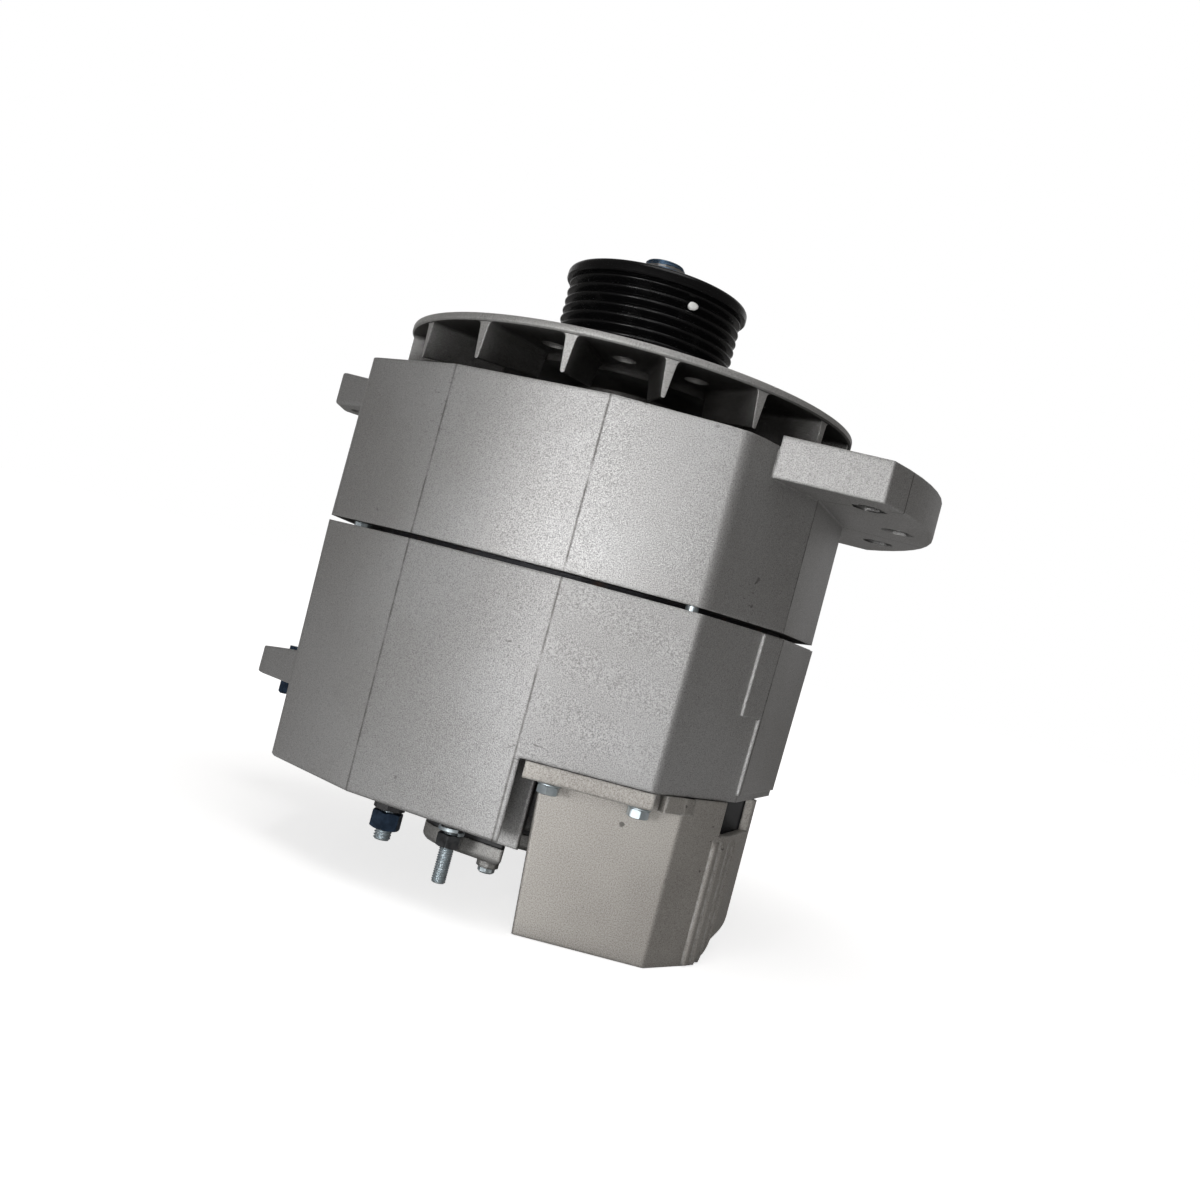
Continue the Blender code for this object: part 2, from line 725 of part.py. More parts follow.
def make_fan(cast, rotor):
    bore = PULLEY_SEAT_RADIUS + CONTACT_GAP
    hub_top = FAN_TOP + FAN_HUB_RISE
    profile = [
        (bore, hub_top),
        (FAN_HUB_RADIUS, hub_top),
        (FAN_HUB_RADIUS + FAN_HUB_RISE / 2, FAN_TOP),
        (FAN_RADIUS - FAN_RIM * 0.15, FAN_TOP),
        (FAN_RADIUS, FAN_TOP - FAN_RIM * 0.15),
        (FAN_RADIUS, FAN_TOP - FAN_RIM),
        (FAN_STEP_RADIUS + FAN_STEP_DEPTH / 2, FAN_TOP - FAN_RIM),
        (FAN_STEP_RADIUS, FAN_TOP - FAN_STEP_DEPTH),
        (FAN_HUB_RADIUS + FAN_HUB_FLARE, FAN_TOP - FAN_STEP_DEPTH),
        (FAN_HUB_RADIUS, FAN_HUB_BOTTOM),
        (bore, FAN_HUB_BOTTOM),
    ]
    fan = turned("fan", profile, FINE, cast, rotor, 35)
    holes = bmesh.new()
    pitch = 360 / BLADE_COUNT
    angles = [BLADE_TURN + pitch * i for i in range(BLADE_COUNT)]
    blades = add_hulls(blade_points(angle) for angle in angles)
    for angle in angles:
        hole = circle(polar(FAN_HOLE_CIRCLE, angle + pitch / 2), FAN_HOLE_RADIUS, SMALL)
        add_loft(holes, [(hole, FAN_TOP - 2 * FAN_RIM), (hole, FAN_TOP + FAN_RIM)])
    boolean(fan, helper(blades, "fan blades"), "UNION")
    boolean(fan, helper(holes, "fan holes"), "DIFFERENCE")


def make_spacer(steel, rotor):
    """Sleeve between the fan hub and the inner ring of the front bearing."""
    top = FAN_HUB_BOTTOM - CONTACT_GAP
    bottom = FRONT_BEARING_TOP + CONTACT_GAP
    inner = FRONT_JOURNAL_RADIUS + CONTACT_GAP
    outer = FRONT_JOURNAL_RADIUS + RACE_THICKNESS
    turned("fan_spacer", [(inner, top), (outer, top), (outer, bottom), (inner, bottom)], MEDIUM, steel, rotor)


def make_bearing(end, radius, bore, top, bottom, balls, steel, brass, rotor):
    """Outer ring on the housing; inner ring and ball cage on the shaft."""
    middle = (top + bottom) / 2
    inner_edge = bore + RACE_THICKNESS
    outer_edge = radius - RACE_THICKNESS
    track = (inner_edge + outer_edge) / 2
    ball = (outer_edge - inner_edge) / 2 + RACE_THICKNESS * 0.2
    dip = ball + RUNNING_GAP
    spread = math.sqrt(dip**2 - (outer_edge - track) ** 2)
    outer = [
        (radius, top),
        (radius, bottom),
        (outer_edge, bottom),
        (outer_edge, middle - spread),
        (track + dip, middle),
        (outer_edge, middle + spread),
        (outer_edge, top),
    ]
    turned(f"{end}_bearing_outer_ring", outer, MEDIUM, steel)
    inner = [
        (bore, top),
        (inner_edge, top),
        (inner_edge, middle + spread),
        (track - dip, middle),
        (inner_edge, middle - spread),
        (inner_edge, bottom),
        (bore, bottom),
    ]
    turned(f"{end}_bearing_inner_ring", inner, MEDIUM, steel, rotor)
    wide = (outer_edge - inner_edge) / 2 - RUNNING_GAP
    tall = ball * 0.45
    cage_profile = [
        (track - wide * 0.6, middle + tall),
        (track + wide * 0.6, middle + tall),
        (track + wide * 0.6, middle - tall),
        (track - wide * 0.6, middle - tall),
    ]
    cage = turned(f"{end}_bearing_balls", cage_profile, MEDIUM, brass, rotor)
    spheres = bmesh.new()
    for i in range(balls):
        spot = polar(track, 360 * i / balls)
        shift = Matrix.Translation((spot.x, spot.y, middle))
        bmesh.ops.create_icosphere(spheres, subdivisions=1, radius=ball * BALL_FACETED_SHARE, matrix=shift)
    boolean(cage, helper(spheres, f"{end} balls"), "UNION")


def make_front_housing(cast):
    """Twelve-sided wall with a domed, windowed face, a bearing boss, the ear and the front hinge lug."""
    outline = body_outline(1, FRONT_CORNER_RADIUS)
    housing = prism("drive_end_housing", outline, SPLIT_FRONT, FACE_TOP, cast, smooth=30)
    dome = [
        (0, FACE_TOP - FACE_THICKNESS / 2),
        (FACE_FLAT_RADIUS, FACE_TOP - FACE_THICKNESS / 2),
        (FACE_FLAT_RADIUS, FACE_TOP),
        (FACE_RISE_RADIUS, FACE_CREST),
        (0, FACE_CREST),
    ]
    boolean(housing, helper(turn_profile(bmesh.new(), dome, ROUND), "face dome"), "UNION")
    boolean(housing, helper(ear_solid(), "ear"), "UNION")
    boolean(housing, helper(ear_crest_solid(), "ear crest"), "UNION")
    boolean(housing, helper(lug_solid(EAR_BOTTOM, FACE_TOP - LUG_ROOT_DROP, EAR_TOP), "front lug"), "UNION")
    seat = FRONT_BEARING_RADIUS + CONTACT_GAP
    boss = FRONT_BEARING_RADIUS + FRONT_BOSS_WALL
    under = FACE_TOP - FACE_THICKNESS
    cavity = [
        (0, SPLIT_FRONT - SPLIT_GAP),
        (STATOR_RADIUS + CONTACT_GAP, SPLIT_FRONT - SPLIT_GAP),
        (STATOR_RADIUS + CONTACT_GAP, STATOR_TOP + CONTACT_GAP),
        (CAVITY_RADIUS, STATOR_TOP + CONTACT_GAP),
        (CAVITY_RADIUS, under),
        (FACE_FLAT_RADIUS, under),
        (FACE_RISE_RADIUS, under + FACE_RISE),
        (boss, under + FACE_RISE),
        (boss, FRONT_BEARING_BOTTOM),
        (seat, FRONT_BEARING_BOTTOM),
        (seat, FRONT_BEARING_TOP + CONTACT_GAP),
        (FRONT_JOURNAL_RADIUS + RACE_THICKNESS + SPACER_HOLE_CLEARANCE, FRONT_BEARING_TOP + CONTACT_GAP),
        (FRONT_JOURNAL_RADIUS + RACE_THICKNESS + SPACER_HOLE_CLEARANCE, FACE_CREST + FACE_RISE),
        (0, FACE_CREST + FACE_RISE),
    ]
    boolean(housing, helper(turn_profile(bmesh.new(), cavity, ROUND), "front cavity"), "DIFFERENCE")
    holes = bmesh.new()
    for i in range(WINDOW_COUNT):
        middle = FACET_TURN + 360 * i / WINDOW_COUNT
        window = sector(
            WINDOW_INNER_RADIUS,
            WINDOW_OUTER_RADIUS,
            middle - WINDOW_SPAN / 2,
            middle + WINDOW_SPAN / 2,
            2,
        )
        add_loft(holes, [(window, under - FACE_THICKNESS), (window, FACE_CREST + FACE_RISE)])
    for i in range(EAR_HOLE_COUNT):
        spot = polar(EAR_HOLE_CIRCLE, EAR_HOLE_START + EAR_HOLE_STEP * i)
        drill(holes, spot, EAR_HOLE_RADIUS, EAR_BOTTOM - EAR_THICKNESS, EAR_TOP + EAR_THICKNESS)
    drill(holes, (PIVOT_X, PIVOT_Y), PIVOT_HOLE_RADIUS, EAR_BOTTOM - EAR_THICKNESS, EAR_TOP + EAR_THICKNESS)
    for spot in [*through_bolt_places(), box_bolt_places()[1]]:
        drill(
            holes,
            spot,
            THROUGH_BOLT_RADIUS + CONTACT_GAP,
            SPLIT_FRONT - SPLIT_GAP / 2,
            SPLIT_FRONT + THROUGH_BOLT_GRIP + CONTACT_GAP,
        )
    for spot in retainer_screw_places():
        drill(
            holes,
            spot,
            SMALL_SCREW_RADIUS + CONTACT_GAP,
            FRONT_BEARING_BOTTOM - RETAINER_THICKNESS,
            FRONT_BEARING_BOTTOM + FRONT_BEARING_WIDTH / 2,
        )
    boolean(housing, helper(holes, "front holes"), "DIFFERENCE")


def drill(bm, spot, radius, bottom, top):
    outline = circle(spot, radius, SMALL)
    add_loft(bm, [(outline, bottom), (outline, top)])


def ear_outline(inner_radius):
    """Straight near face, round rim and a rounded far end; its root lies inside the wall."""
    rim = arc(EAR_RADIUS, EAR_START, EAR_END, 14)
    beyond = inner_radius + EAR_FAN_CLEARANCE
    near_root = polar(max(FLAT_APOTHEM + EAR_ROOT_PROUD, beyond), EAR_ROOT_ANGLE)
    far_root = polar(max(FLAT_APOTHEM, beyond), EAR_END + 12)
    inner = arc(inner_radius, EAR_END + 9, 36, 12)
    return [near_root] + rim + [far_root] + inner


def ear_solid():
    outline = ear_outline(FLAT_APOTHEM - EAR_ROOT_OVERLAP)
    return add_loft(bmesh.new(), [(outline, EAR_BOTTOM), (outline, FACE_TOP - EAR_FACE_STEP)])


def ear_crest_solid():
    outline = ear_outline(FAN_RADIUS + EAR_FAN_CLEARANCE)
    return add_loft(bmesh.new(), [(outline, FACE_TOP - EAR_RISE), (outline, EAR_TOP)])


def lug_solid(bottom, root_top, tip_top):
    """An arm with a flat underside, its top sloping evenly from the wall to the round end."""
    roots = [polar(LUG_ROOT_RADIUS, angle) for angle in (LUG_ROOT_START, LUG_ROOT_END)]
    pivot = Vector((PIVOT_X, PIVOT_Y))
    base = (roots[0] + roots[1]) / 2
    reach = (pivot - base).length + LUG_RADIUS
    arm = (pivot - base).normalized()
    points = []
    for spot in roots + circle(pivot, LUG_RADIUS, ROUND):
        share = (spot - base).dot(arm) / reach
        points.append((spot.x, spot.y, bottom))
        points.append((spot.x, spot.y, root_top + (tip_top - root_top) * share))
    return add_hull(bmesh.new(), points)


def through_bolt_places():
    corner = FACET_TURN - 45
    return [polar(THROUGH_BOLT_CIRCLE, corner - 90 * i) for i in range(3)]


def retainer_screw_places():
    middle = FRONT_BEARING_RADIUS + FRONT_BOSS_WALL / 2
    return [polar(middle, FACET_TURN + 360 * i / RETAINER_SCREWS) for i in range(RETAINER_SCREWS)]


def make_retainer(steel, zinc):
    top = FRONT_BEARING_BOTTOM - CONTACT_GAP
    outer = FRONT_BEARING_RADIUS + FRONT_BOSS_WALL
    profile = [
        (RETAINER_INNER_RADIUS, top),
        (outer, top),
        (outer, top - RETAINER_THICKNESS),
        (RETAINER_INNER_RADIUS, top - RETAINER_THICKNESS),
    ]
    plate = turned("bearing_retainer", profile, MEDIUM, steel)
    holes = bmesh.new()
    for spot in retainer_screw_places():
        drill(
            holes,
            spot,
            SMALL_SCREW_RADIUS + CONTACT_GAP,
            top - 2 * RETAINER_THICKNESS,
            top + RETAINER_THICKNESS,
        )
    boolean(plate, helper(holes, "retainer holes"), "DIFFERENCE")
    screw = bolt_mesh(
        "retainer_screw_1",
        SMALL_SCREW_RADIUS,
        RETAINER_THICKNESS + FRONT_BEARING_WIDTH / 3,
        SMALL_HEAD_HEIGHT,
        SMALL_HEAD_FLATS,
        zinc,
    )
    head = top - RETAINER_THICKNESS - CONTACT_GAP
    names = [f"retainer_screw_{i + 1}" for i in range(RETAINER_SCREWS)]
    repeat(screw, names, [(*spot, head) for spot in retainer_screw_places()])


def slot_outline():
    """Bore of the stator with its slots: a narrow mouth, then a parallel slot in each tooth pitch."""
    outline = []
    for i in range(SLOT_COUNT):
        angle = 360 * i / SLOT_COUNT
        middle, side = unit(angle), unit(angle + 90)
        mouth_half, slot_half = SLOT_MOUTH / 2, SLOT_WIDTH / 2
        tip = STATOR_BORE + TOOTH_TIP
        deep = tip + SLOT_DEPTH
        outline += [
            middle * STATOR_BORE - side * mouth_half,
            middle * tip - side * mouth_half,
            middle * tip - side * slot_half,
            middle * deep - side * slot_half,
            middle * deep + side * slot_half,
            middle * tip + side * slot_half,
            middle * tip + side * mouth_half,
            middle * STATOR_BORE + side * mouth_half,
        ]
    return outline


def make_stator(iron, copper):
    core = prism(
        "stator_core", circle((0, 0), STATOR_RADIUS, ROUND), STATOR_BOTTOM, STATOR_TOP, iron, smooth=20
    )
    bore = slot_outline()
    levels = [(bore, STATOR_BOTTOM - STATOR_LENGTH / 4), (bore, STATOR_TOP + STATOR_LENGTH / 4)]
    boolean(core, helper(add_loft(bmesh.new(), levels), "stator bore"), "DIFFERENCE")
    inner = STATOR_BORE + TOOTH_TIP + CONTACT_GAP
    for end, start, way in (("front", STATOR_TOP, 1), ("rear", STATOR_BOTTOM, -1)):
        near = start + way * CONTACT_GAP
        far = start + way * WINDING_OVERHANG
        levels = [
            (winding_outline(inner, 0), near),
            (winding_outline(inner, WINDING_LOBE), near + way * WINDING_OVERHANG * 0.25),
            (winding_outline(inner, WINDING_LOBE), near + way * WINDING_OVERHANG * 0.75),
            (winding_outline(inner, 0, 0.85), far),
        ]
        winding = loft(f"stator_winding_{end}", levels, copper, smooth=60)
        hole = circle((0, 0), inner, ROUND)
        levels = [(hole, near - way * WINDING_OVERHANG), (hole, far + way * WINDING_OVERHANG)]
        cut = helper(add_loft(bmesh.new(), levels), f"winding {end} bore")
        boolean(winding, cut, "DIFFERENCE")


def winding_outline(inner, lobe, share=1.0):
    """Outside of the end turns, scalloped where each coil bulges."""
    outline = []
    reach = inner + WINDING_WALL * share
    for i in range(COIL_LOBES):
        outline.append(polar(reach + lobe, 360 * i / COIL_LOBES))
        outline.append(polar(reach - lobe, 360 * (i + 0.5) / COIL_LOBES))
    return outline


def claw_points(angle, root, tip, way):
    """One pole finger, from the rim of its disc to a thin narrow tip past the middle of the coil."""
    outer = STATOR_BORE - AIR_GAP
    points = []
    ends = (
        (root, CLAW_ROOT_HALF_ANGLE, CLAW_ROOT_THICKNESS),
        (root - way * POLE_DISC_THICKNESS, CLAW_ROOT_HALF_ANGLE, CLAW_ROOT_THICKNESS),
        (tip, CLAW_TIP_HALF_ANGLE, CLAW_TIP_THICKNESS),
    )
    for height, half, thickness in ends:
        for turn in (-half, 0, half):
            rim = polar(outer, angle + turn)
            points.append((rim.x, rim.y, height))
        for turn in (-half, half):
            under = polar(outer - thickness, angle + turn)
            points.append((under.x, under.y, height))
    return points


def make_poles(iron, copper, rotor):
    bore = POLE_SEAT_RADIUS + CONTACT_GAP
    for end, face, way, turn in (("front", POLE_TOP, 1, 0.0), ("rear", POLE_BOTTOM, -1, 30.0)):
        inner = face - way * POLE_DISC_THICKNESS
        profile = [(bore, face), (POLE_DISC_RADIUS, face), (POLE_DISC_RADIUS, inner), (bore, inner)]
        pole = turned(f"claw_pole_{end}", profile, ROUND, iron, rotor)
        tip = face - way * (POLE_LENGTH - CLAW_TIP_INSET)
        fingers = add_hulls(claw_points(360 * i / CLAWS + turn, face, tip, way) for i in range(CLAWS))
        boolean(pole, helper(fingers, f"{end} fingers"), "UNION")
    top = POLE_TOP - POLE_DISC_THICKNESS - CONTACT_GAP
    bottom = POLE_BOTTOM + POLE_DISC_THICKNESS + CONTACT_GAP
    profile = [(bore, top), (COIL_RADIUS, top), (COIL_RADIUS, bottom), (bore, bottom)]
    turned("field_coil", profile, MEDIUM, copper, rotor)


def slip_ring_middle(i):
    start = REAR_WALL_BOTTOM - 0.009 - SLIP_RING_WIDTH / 2
    return start - SLIP_RING_PITCH * i


def make_slip_rings(copper, dark, rotor):
    inner = REAR_JOURNAL_RADIUS + CONTACT_GAP
    outer = inner + SLEEVE_WALL
    top = slip_ring_middle(0) + SLIP_RING_WIDTH
    bottom = slip_ring_middle(1) - SLIP_RING_WIDTH * 0.7
    profile = [(inner, top), (outer, top), (outer, bottom), (inner, bottom)]
    turned("slip_ring_sleeve", profile, MEDIUM, dark, rotor)
    for i in range(2):
        middle = slip_ring_middle(i)
        low, high = middle - SLIP_RING_WIDTH / 2, middle + SLIP_RING_WIDTH / 2
        bore = outer + CONTACT_GAP
        profile = [(bore, high), (SLIP_RING_RADIUS, high), (SLIP_RING_RADIUS, low), (bore, low)]
        turned(f"slip_ring_{i + 1}", profile, MEDIUM, copper, rotor)


def bay_outline(inset, corner_radius):
    """The brush bay in plan: square to the centre facet in front, clear of the box on the right."""
    front = BAY_FRONT - inset
    face = unit(FACET_TURN)
    stop = BOX_LEFT_TOP - CONTACT_GAP - inset
    step_y = -BOX_BACK + CONTACT_GAP + inset
    left_back = turned_frame(BAY_LEFT_BACK + inset, BAY_BACK + inset)
    points = [
        turned_frame(BAY_LEFT_FRONT + inset, front),
        Vector((stop, (front - face.x * stop) / face.y)),
        Vector((stop, step_y)),
        Vector((BAY_RIGHT - inset, step_y)),
        Vector((BAY_RIGHT - inset, left_back.y)),
        left_back,
    ]
    return rounded(points, [corner_radius, 0.001, 0.001, 0.001, 0.004, 0.004], 4)


def box_left(height):
    """The left wall of the regulator box leans, so its place depends on the height."""
    share = (BOX_TOP - height) / BOX_DEPTH
    return BOX_LEFT_TOP + (BOX_LEFT_BOTTOM - BOX_LEFT_TOP) * share


def rear_wall_levels():
    """Drafted wall with a broken edge along its lower rim."""
    plan = body_outline(1, REAR_CORNER_RADIUS)
    shoulder = SKIRT_BOTTOM + SKIRT_EDGE_BREAK
    rim = rear_scale(shoulder) - SKIRT_EDGE_BREAK / FACET_APOTHEM
    sizes = ((rim, SKIRT_BOTTOM), (rear_scale(shoulder), shoulder), (rear_scale(SPLIT_REAR), SPLIT_REAR))
    return [([point * size for point in plan], height) for size, height in sizes]


def belt_outline(lap):
    """Raised belt over the right facet, from a lap on the flat before it to a return on the flat after it."""
    planes = body_planes(1)
    flat, facet, after = planes[3], planes[4], planes[5]
    rings = []
    for shift in (STEP_PROUD, -STEP_DEPTH):
        before = (flat[0], flat[1] + shift)
        middle = (facet[0], facet[1] + shift)
        beyond = (after[0], after[1] + shift)
        corner = meet(before, middle)
        far = meet(middle, beyond)
        rings.append(
            [corner - unit(flat[0] + 90) * lap, corner, far, far + unit(after[0] + 90) * STEP_RETURN]
        )
    return rings[0] + rings[1][::-1]


def add_belts(housing):
    """The belt laps further over the flat above its jog than below it."""
    jog = SPLIT_REAR - STEP_JOG_DEPTH
    spans = (
        ("low belt", STEP_LAP_LOW, REAR_WALL_BOTTOM + STEP_END, jog),
        ("high belt", STEP_LAP_HIGH, jog - STEP_PROUD / 4, SPLIT_REAR - CONTACT_GAP),
    )
    for name, lap, low, high in spans:
        plan = belt_outline(lap)
        levels = [([point * rear_scale(z) for point in plan], z) for z in (low, high)]
        boolean(housing, helper(add_loft(bmesh.new(), levels), name), "UNION")


def make_rear_housing(cast):
    """Drafted twelve-sided wall with a long skirt round part of it, an end plate and the brush bay."""
    housing = loft("slip_ring_end_housing", rear_wall_levels(), cast, smooth=30)
    add_belts(housing)
    lug = lug_solid(REAR_LUG_BOTTOM, REAR_LUG_BOTTOM + REAR_LUG_ROOT, REAR_LUG_BOTTOM + REAR_LUG_TIP)
    boolean(housing, helper(lug, "rear lug"), "UNION")
    boss = REAR_BEARING_RADIUS + REAR_BOSS_WALL
    deep = SKIRT_BOTTOM - SKIRT_CUT_BELOW
    shoulder = REAR_BEARING_RADIUS - RACE_THICKNESS - REAR_SHOULDER_LAP
    skirt_room = [
        (shoulder, REAR_WALL_BOTTOM - REAR_BOSS_CHAMFER),
        (boss, REAR_WALL_BOTTOM - REAR_BOSS_CHAMFER),
        (boss + REAR_BOSS_CHAMFER, REAR_WALL_BOTTOM),
        (SKIRT_INNER_RADIUS, REAR_WALL_BOTTOM),
        (SKIRT_INNER_RADIUS, deep),
        (shoulder, deep),
    ]
    boolean(housing, helper(turn_profile(bmesh.new(), skirt_room, ROUND), "skirt room"), "DIFFERENCE")
    notch = [(NOTCH_X, -CUT_REACH), (CUT_REACH, -CUT_REACH), (CUT_REACH, NOTCH_Y), (NOTCH_X, NOTCH_Y)]
    levels = [(notch, deep), (notch, REAR_WALL_BOTTOM)]
    boolean(housing, helper(add_loft(bmesh.new(), levels), "skirt notch"), "DIFFERENCE")
    plan = bay_outline(0, COVER_CORNER_RADIUS)
    bay = add_loft(bmesh.new(), [(plan, BAY_BOTTOM), (plan, REAR_WALL_BOTTOM + END_PLATE_THICKNESS / 2)])
    boolean(housing, helper(bay, "brush bay"), "UNION")
    seat = REAR_BEARING_RADIUS + CONTACT_GAP
    cavity = [
        (0, SPLIT_REAR + SPLIT_GAP),
        (STATOR_RADIUS + CONTACT_GAP, SPLIT_REAR + SPLIT_GAP),
        (STATOR_RADIUS + CONTACT_GAP, STATOR_BOTTOM - CONTACT_GAP),
        (CAVITY_RADIUS, STATOR_BOTTOM - CONTACT_GAP),
        (CAVITY_RADIUS, END_PLATE_TOP),
        (boss, END_PLATE_TOP),
        (boss, REAR_BEARING_TOP),
        (seat, REAR_BEARING_TOP),
        (seat, REAR_BEARING_BOTTOM - CONTACT_GAP),
        (REAR_BEARING_RADIUS - RACE_THICKNESS, REAR_BEARING_BOTTOM - CONTACT_GAP),
        (REAR_BEARING_RADIUS - RACE_THICKNESS, BAY_BOTTOM - 0.002),
        (0, BAY_BOTTOM - 0.002),
    ]
    boolean(housing, helper(turn_profile(bmesh.new(), cavity, ROUND), "rear cavity"), "DIFFERENCE")
    room = bay_outline(BAY_WALL, COVER_CORNER_RADIUS / 2)
    bay_room = add_loft(bmesh.new(), [(room, BAY_BOTTOM - 0.002), (room, REAR_WALL_BOTTOM - 0.0025)])
    boolean(housing, helper(bay_room, "brush bay room"), "DIFFERENCE")
    posts = bmesh.new()
    for spot in cover_screw_places():
        drill(posts, spot, COVER_POST_RADIUS, BAY_BOTTOM, REAR_WALL_BOTTOM)
    stand = REAR_WALL_BOTTOM - SINK_STANDOFF + CONTACT_GAP
    for (spot, _), radius in zip(terminal_places(), (OUTPUT_BUSH_RADIUS, SIGNAL_BUSH_RADIUS)):
        drill(posts, spot, radius, stand, REAR_WALL_BOTTOM + MERGE)
    boolean(housing, helper(posts, "cover posts"), "UNION")
    holes = bmesh.new()
    for i in range(REAR_VENT_COUNT):
        middle = FACET_TURN + 180 + 360 * (i + 0.5) / REAR_VENT_COUNT
        vent = sector(
            REAR_VENT_INNER_RADIUS,
            REAR_VENT_OUTER_RADIUS,
            middle - REAR_VENT_SPAN / 2,
            middle + REAR_VENT_SPAN / 2,
            2,
        )
        if 100 < (middle - FACET_TURN) % 360 < 330:
            add_loft(holes, [(vent, REAR_WALL_BOTTOM - 0.001), (vent, END_PLATE_TOP + 0.001)])
    low, high = REAR_LUG_BOTTOM - REAR_LUG_ROOT, REAR_LUG_BOTTOM + 2 * REAR_LUG_ROOT
    drill(holes, (PIVOT_X, PIVOT_Y), PIVOT_HOLE_RADIUS, low, high)
    drill(holes, lock_screw_place(), LOCK_SCREW_RADIUS + CONTACT_GAP, low, high)
    for spot in through_bolt_places():
        drill(holes, spot, THROUGH_BOLT_RADIUS + CONTACT_GAP, REAR_WALL_BOTTOM, SPLIT_REAR + SPLIT_GAP / 2)
    left, right = box_bolt_places()
    clearance = BOX_BOLT_RADIUS + CONTACT_GAP
    drill(holes, left, clearance, REAR_WALL_BOTTOM - DRILL_LAP, REAR_WALL_BOTTOM + BOX_BOLT_GRIP + CONTACT_GAP)
    drill(holes, right, clearance, REAR_WALL_BOTTOM - DRILL_LAP, SPLIT_REAR + SPLIT_GAP / 2)
    for spot in cover_screw_places():
        screw_hole = COVER_SCREW_RADIUS + CONTACT_GAP
        drill(holes, spot, screw_hole, BAY_BOTTOM - DRILL_LAP, BAY_BOTTOM + COVER_SCREW_DRILL)
    for spot, radius in terminal_places():
        drill(holes, spot, radius + CONTACT_GAP, stand - DRILL_LAP, REAR_WALL_BOTTOM + STUD_ANCHOR)
    boolean(housing, helper(holes, "rear holes"), "DIFFERENCE")
    head_room = (THROUGH_HEAD_FLATS / math.sqrt(3) + CONTACT_GAP) / math.cos(math.pi / SMALL)
    recesses = bmesh.new()
    for spot in through_bolt_places():
        drill(recesses, spot, head_room, deep, REAR_WALL_BOTTOM + THROUGH_HEAD_DEPTH)
    boolean(housing, helper(recesses, "bolt recesses"), "DIFFERENCE")


def lock_screw_place():
    return (PIVOT_X, PIVOT_Y - LOCK_SCREW_OFFSET)


def cover_screw_places():
    return [
        turned_frame(COVER_SCREW_ALONG, COVER_SCREW_OUTWARD),
        turned_frame(BAY_LEFT_BACK + BAY_WALL + COVER_SCREW_INSET, BAY_BACK + BAY_WALL + COVER_SCREW_INSET),
    ]


def box_bolt_places():
    edge = FLAT_APOTHEM * rear_scale(REAR_WALL_BOTTOM)
    return [(x, -edge + BOX_BOLT_INSET) for x in (BOX_BOLT_LEFT, BOX_BOLT_RIGHT)]


def terminal_places():
    return [
        ((OUTPUT_STUD_X, OUTPUT_STUD_Y), OUTPUT_STUD_RADIUS),
        ((SIGNAL_STUD_X, SIGNAL_STUD_Y), SIGNAL_STUD_RADIUS),
    ]


def make_cover(cast, zinc, dark):
    """Plate over the brush bay, rounded along its lower edge, with a boss at each screw."""
    outer = bay_outline(COVER_INSET + CONTACT_GAP, COVER_CORNER_RADIUS)
    inner = bay_outline(BAY_WALL - CONTACT_GAP, COVER_CORNER_RADIUS)
    top = BAY_BOTTOM - CONTACT_GAP
    bottom = top - GASKET_THICKNESS
    gasket = prism("cover_gasket", outer, bottom, top, dark)
    middle = add_loft(bmesh.new(), [(inner, bottom - GASKET_THICKNESS), (inner, top + GASKET_THICKNESS)])
    boolean(gasket, helper(middle, "gasket middle"), "DIFFERENCE")
    round_low = COVER_EDGE_ROUND
    levels = []
    for step in range(4):
        bend = math.radians(90 * step / 3)
        inset = COVER_INSET + round_low * (1 - math.sin(bend))
        height = COVER_BOTTOM + round_low * (1 - math.cos(bend))
        levels.append((bay_outline(inset, COVER_CORNER_RADIUS), height))
    levels.append((bay_outline(COVER_INSET, COVER_CORNER_RADIUS), COVER_TOP))
    cover = loft("rear_cover_plate", levels, cast, smooth=40)
    bosses = bmesh.new()
    holes = bmesh.new()
    clearance = COVER_SCREW_RADIUS + CONTACT_GAP
    half_way = COVER_TOP - COVER_THICKNESS / 2
    for spot in cover_screw_places():
        drill(bosses, spot, COVER_BOSS_RADIUS, COVER_BOTTOM - COVER_BOSS_HEIGHT, half_way)
        drill(holes, spot, clearance, COVER_BOTTOM - COVER_THICKNESS, COVER_TOP + COVER_THICKNESS)
    boolean(cover, helper(bosses, "cover bosses"), "UNION")
    boolean(cover, helper(holes, "cover holes"), "DIFFERENCE")
    seat = COVER_BOTTOM - COVER_BOSS_HEIGHT - CONTACT_GAP
    reach = BAY_BOTTOM + COVER_SCREW_GRIP - seat
    head = circle((0, 0), SCREW_HEAD_RADIUS, SMALL)
    crown = circle((0, 0), SCREW_HEAD_RADIUS * 0.8, SMALL)
    shank = circle((0, 0), COVER_SCREW_RADIUS, SMALL)
    low = -SCREW_HEAD_HEIGHT
    levels = [(crown, low), (head, low * 0.7), (head, 0), (shank, 0.00002), (shank, reach)]
    screw = loft("cover_screw_1", levels, zinc, smooth=40)
    repeat(screw, ["cover_screw_1", "cover_screw_2"], [(*spot, seat) for spot in cover_screw_places()])


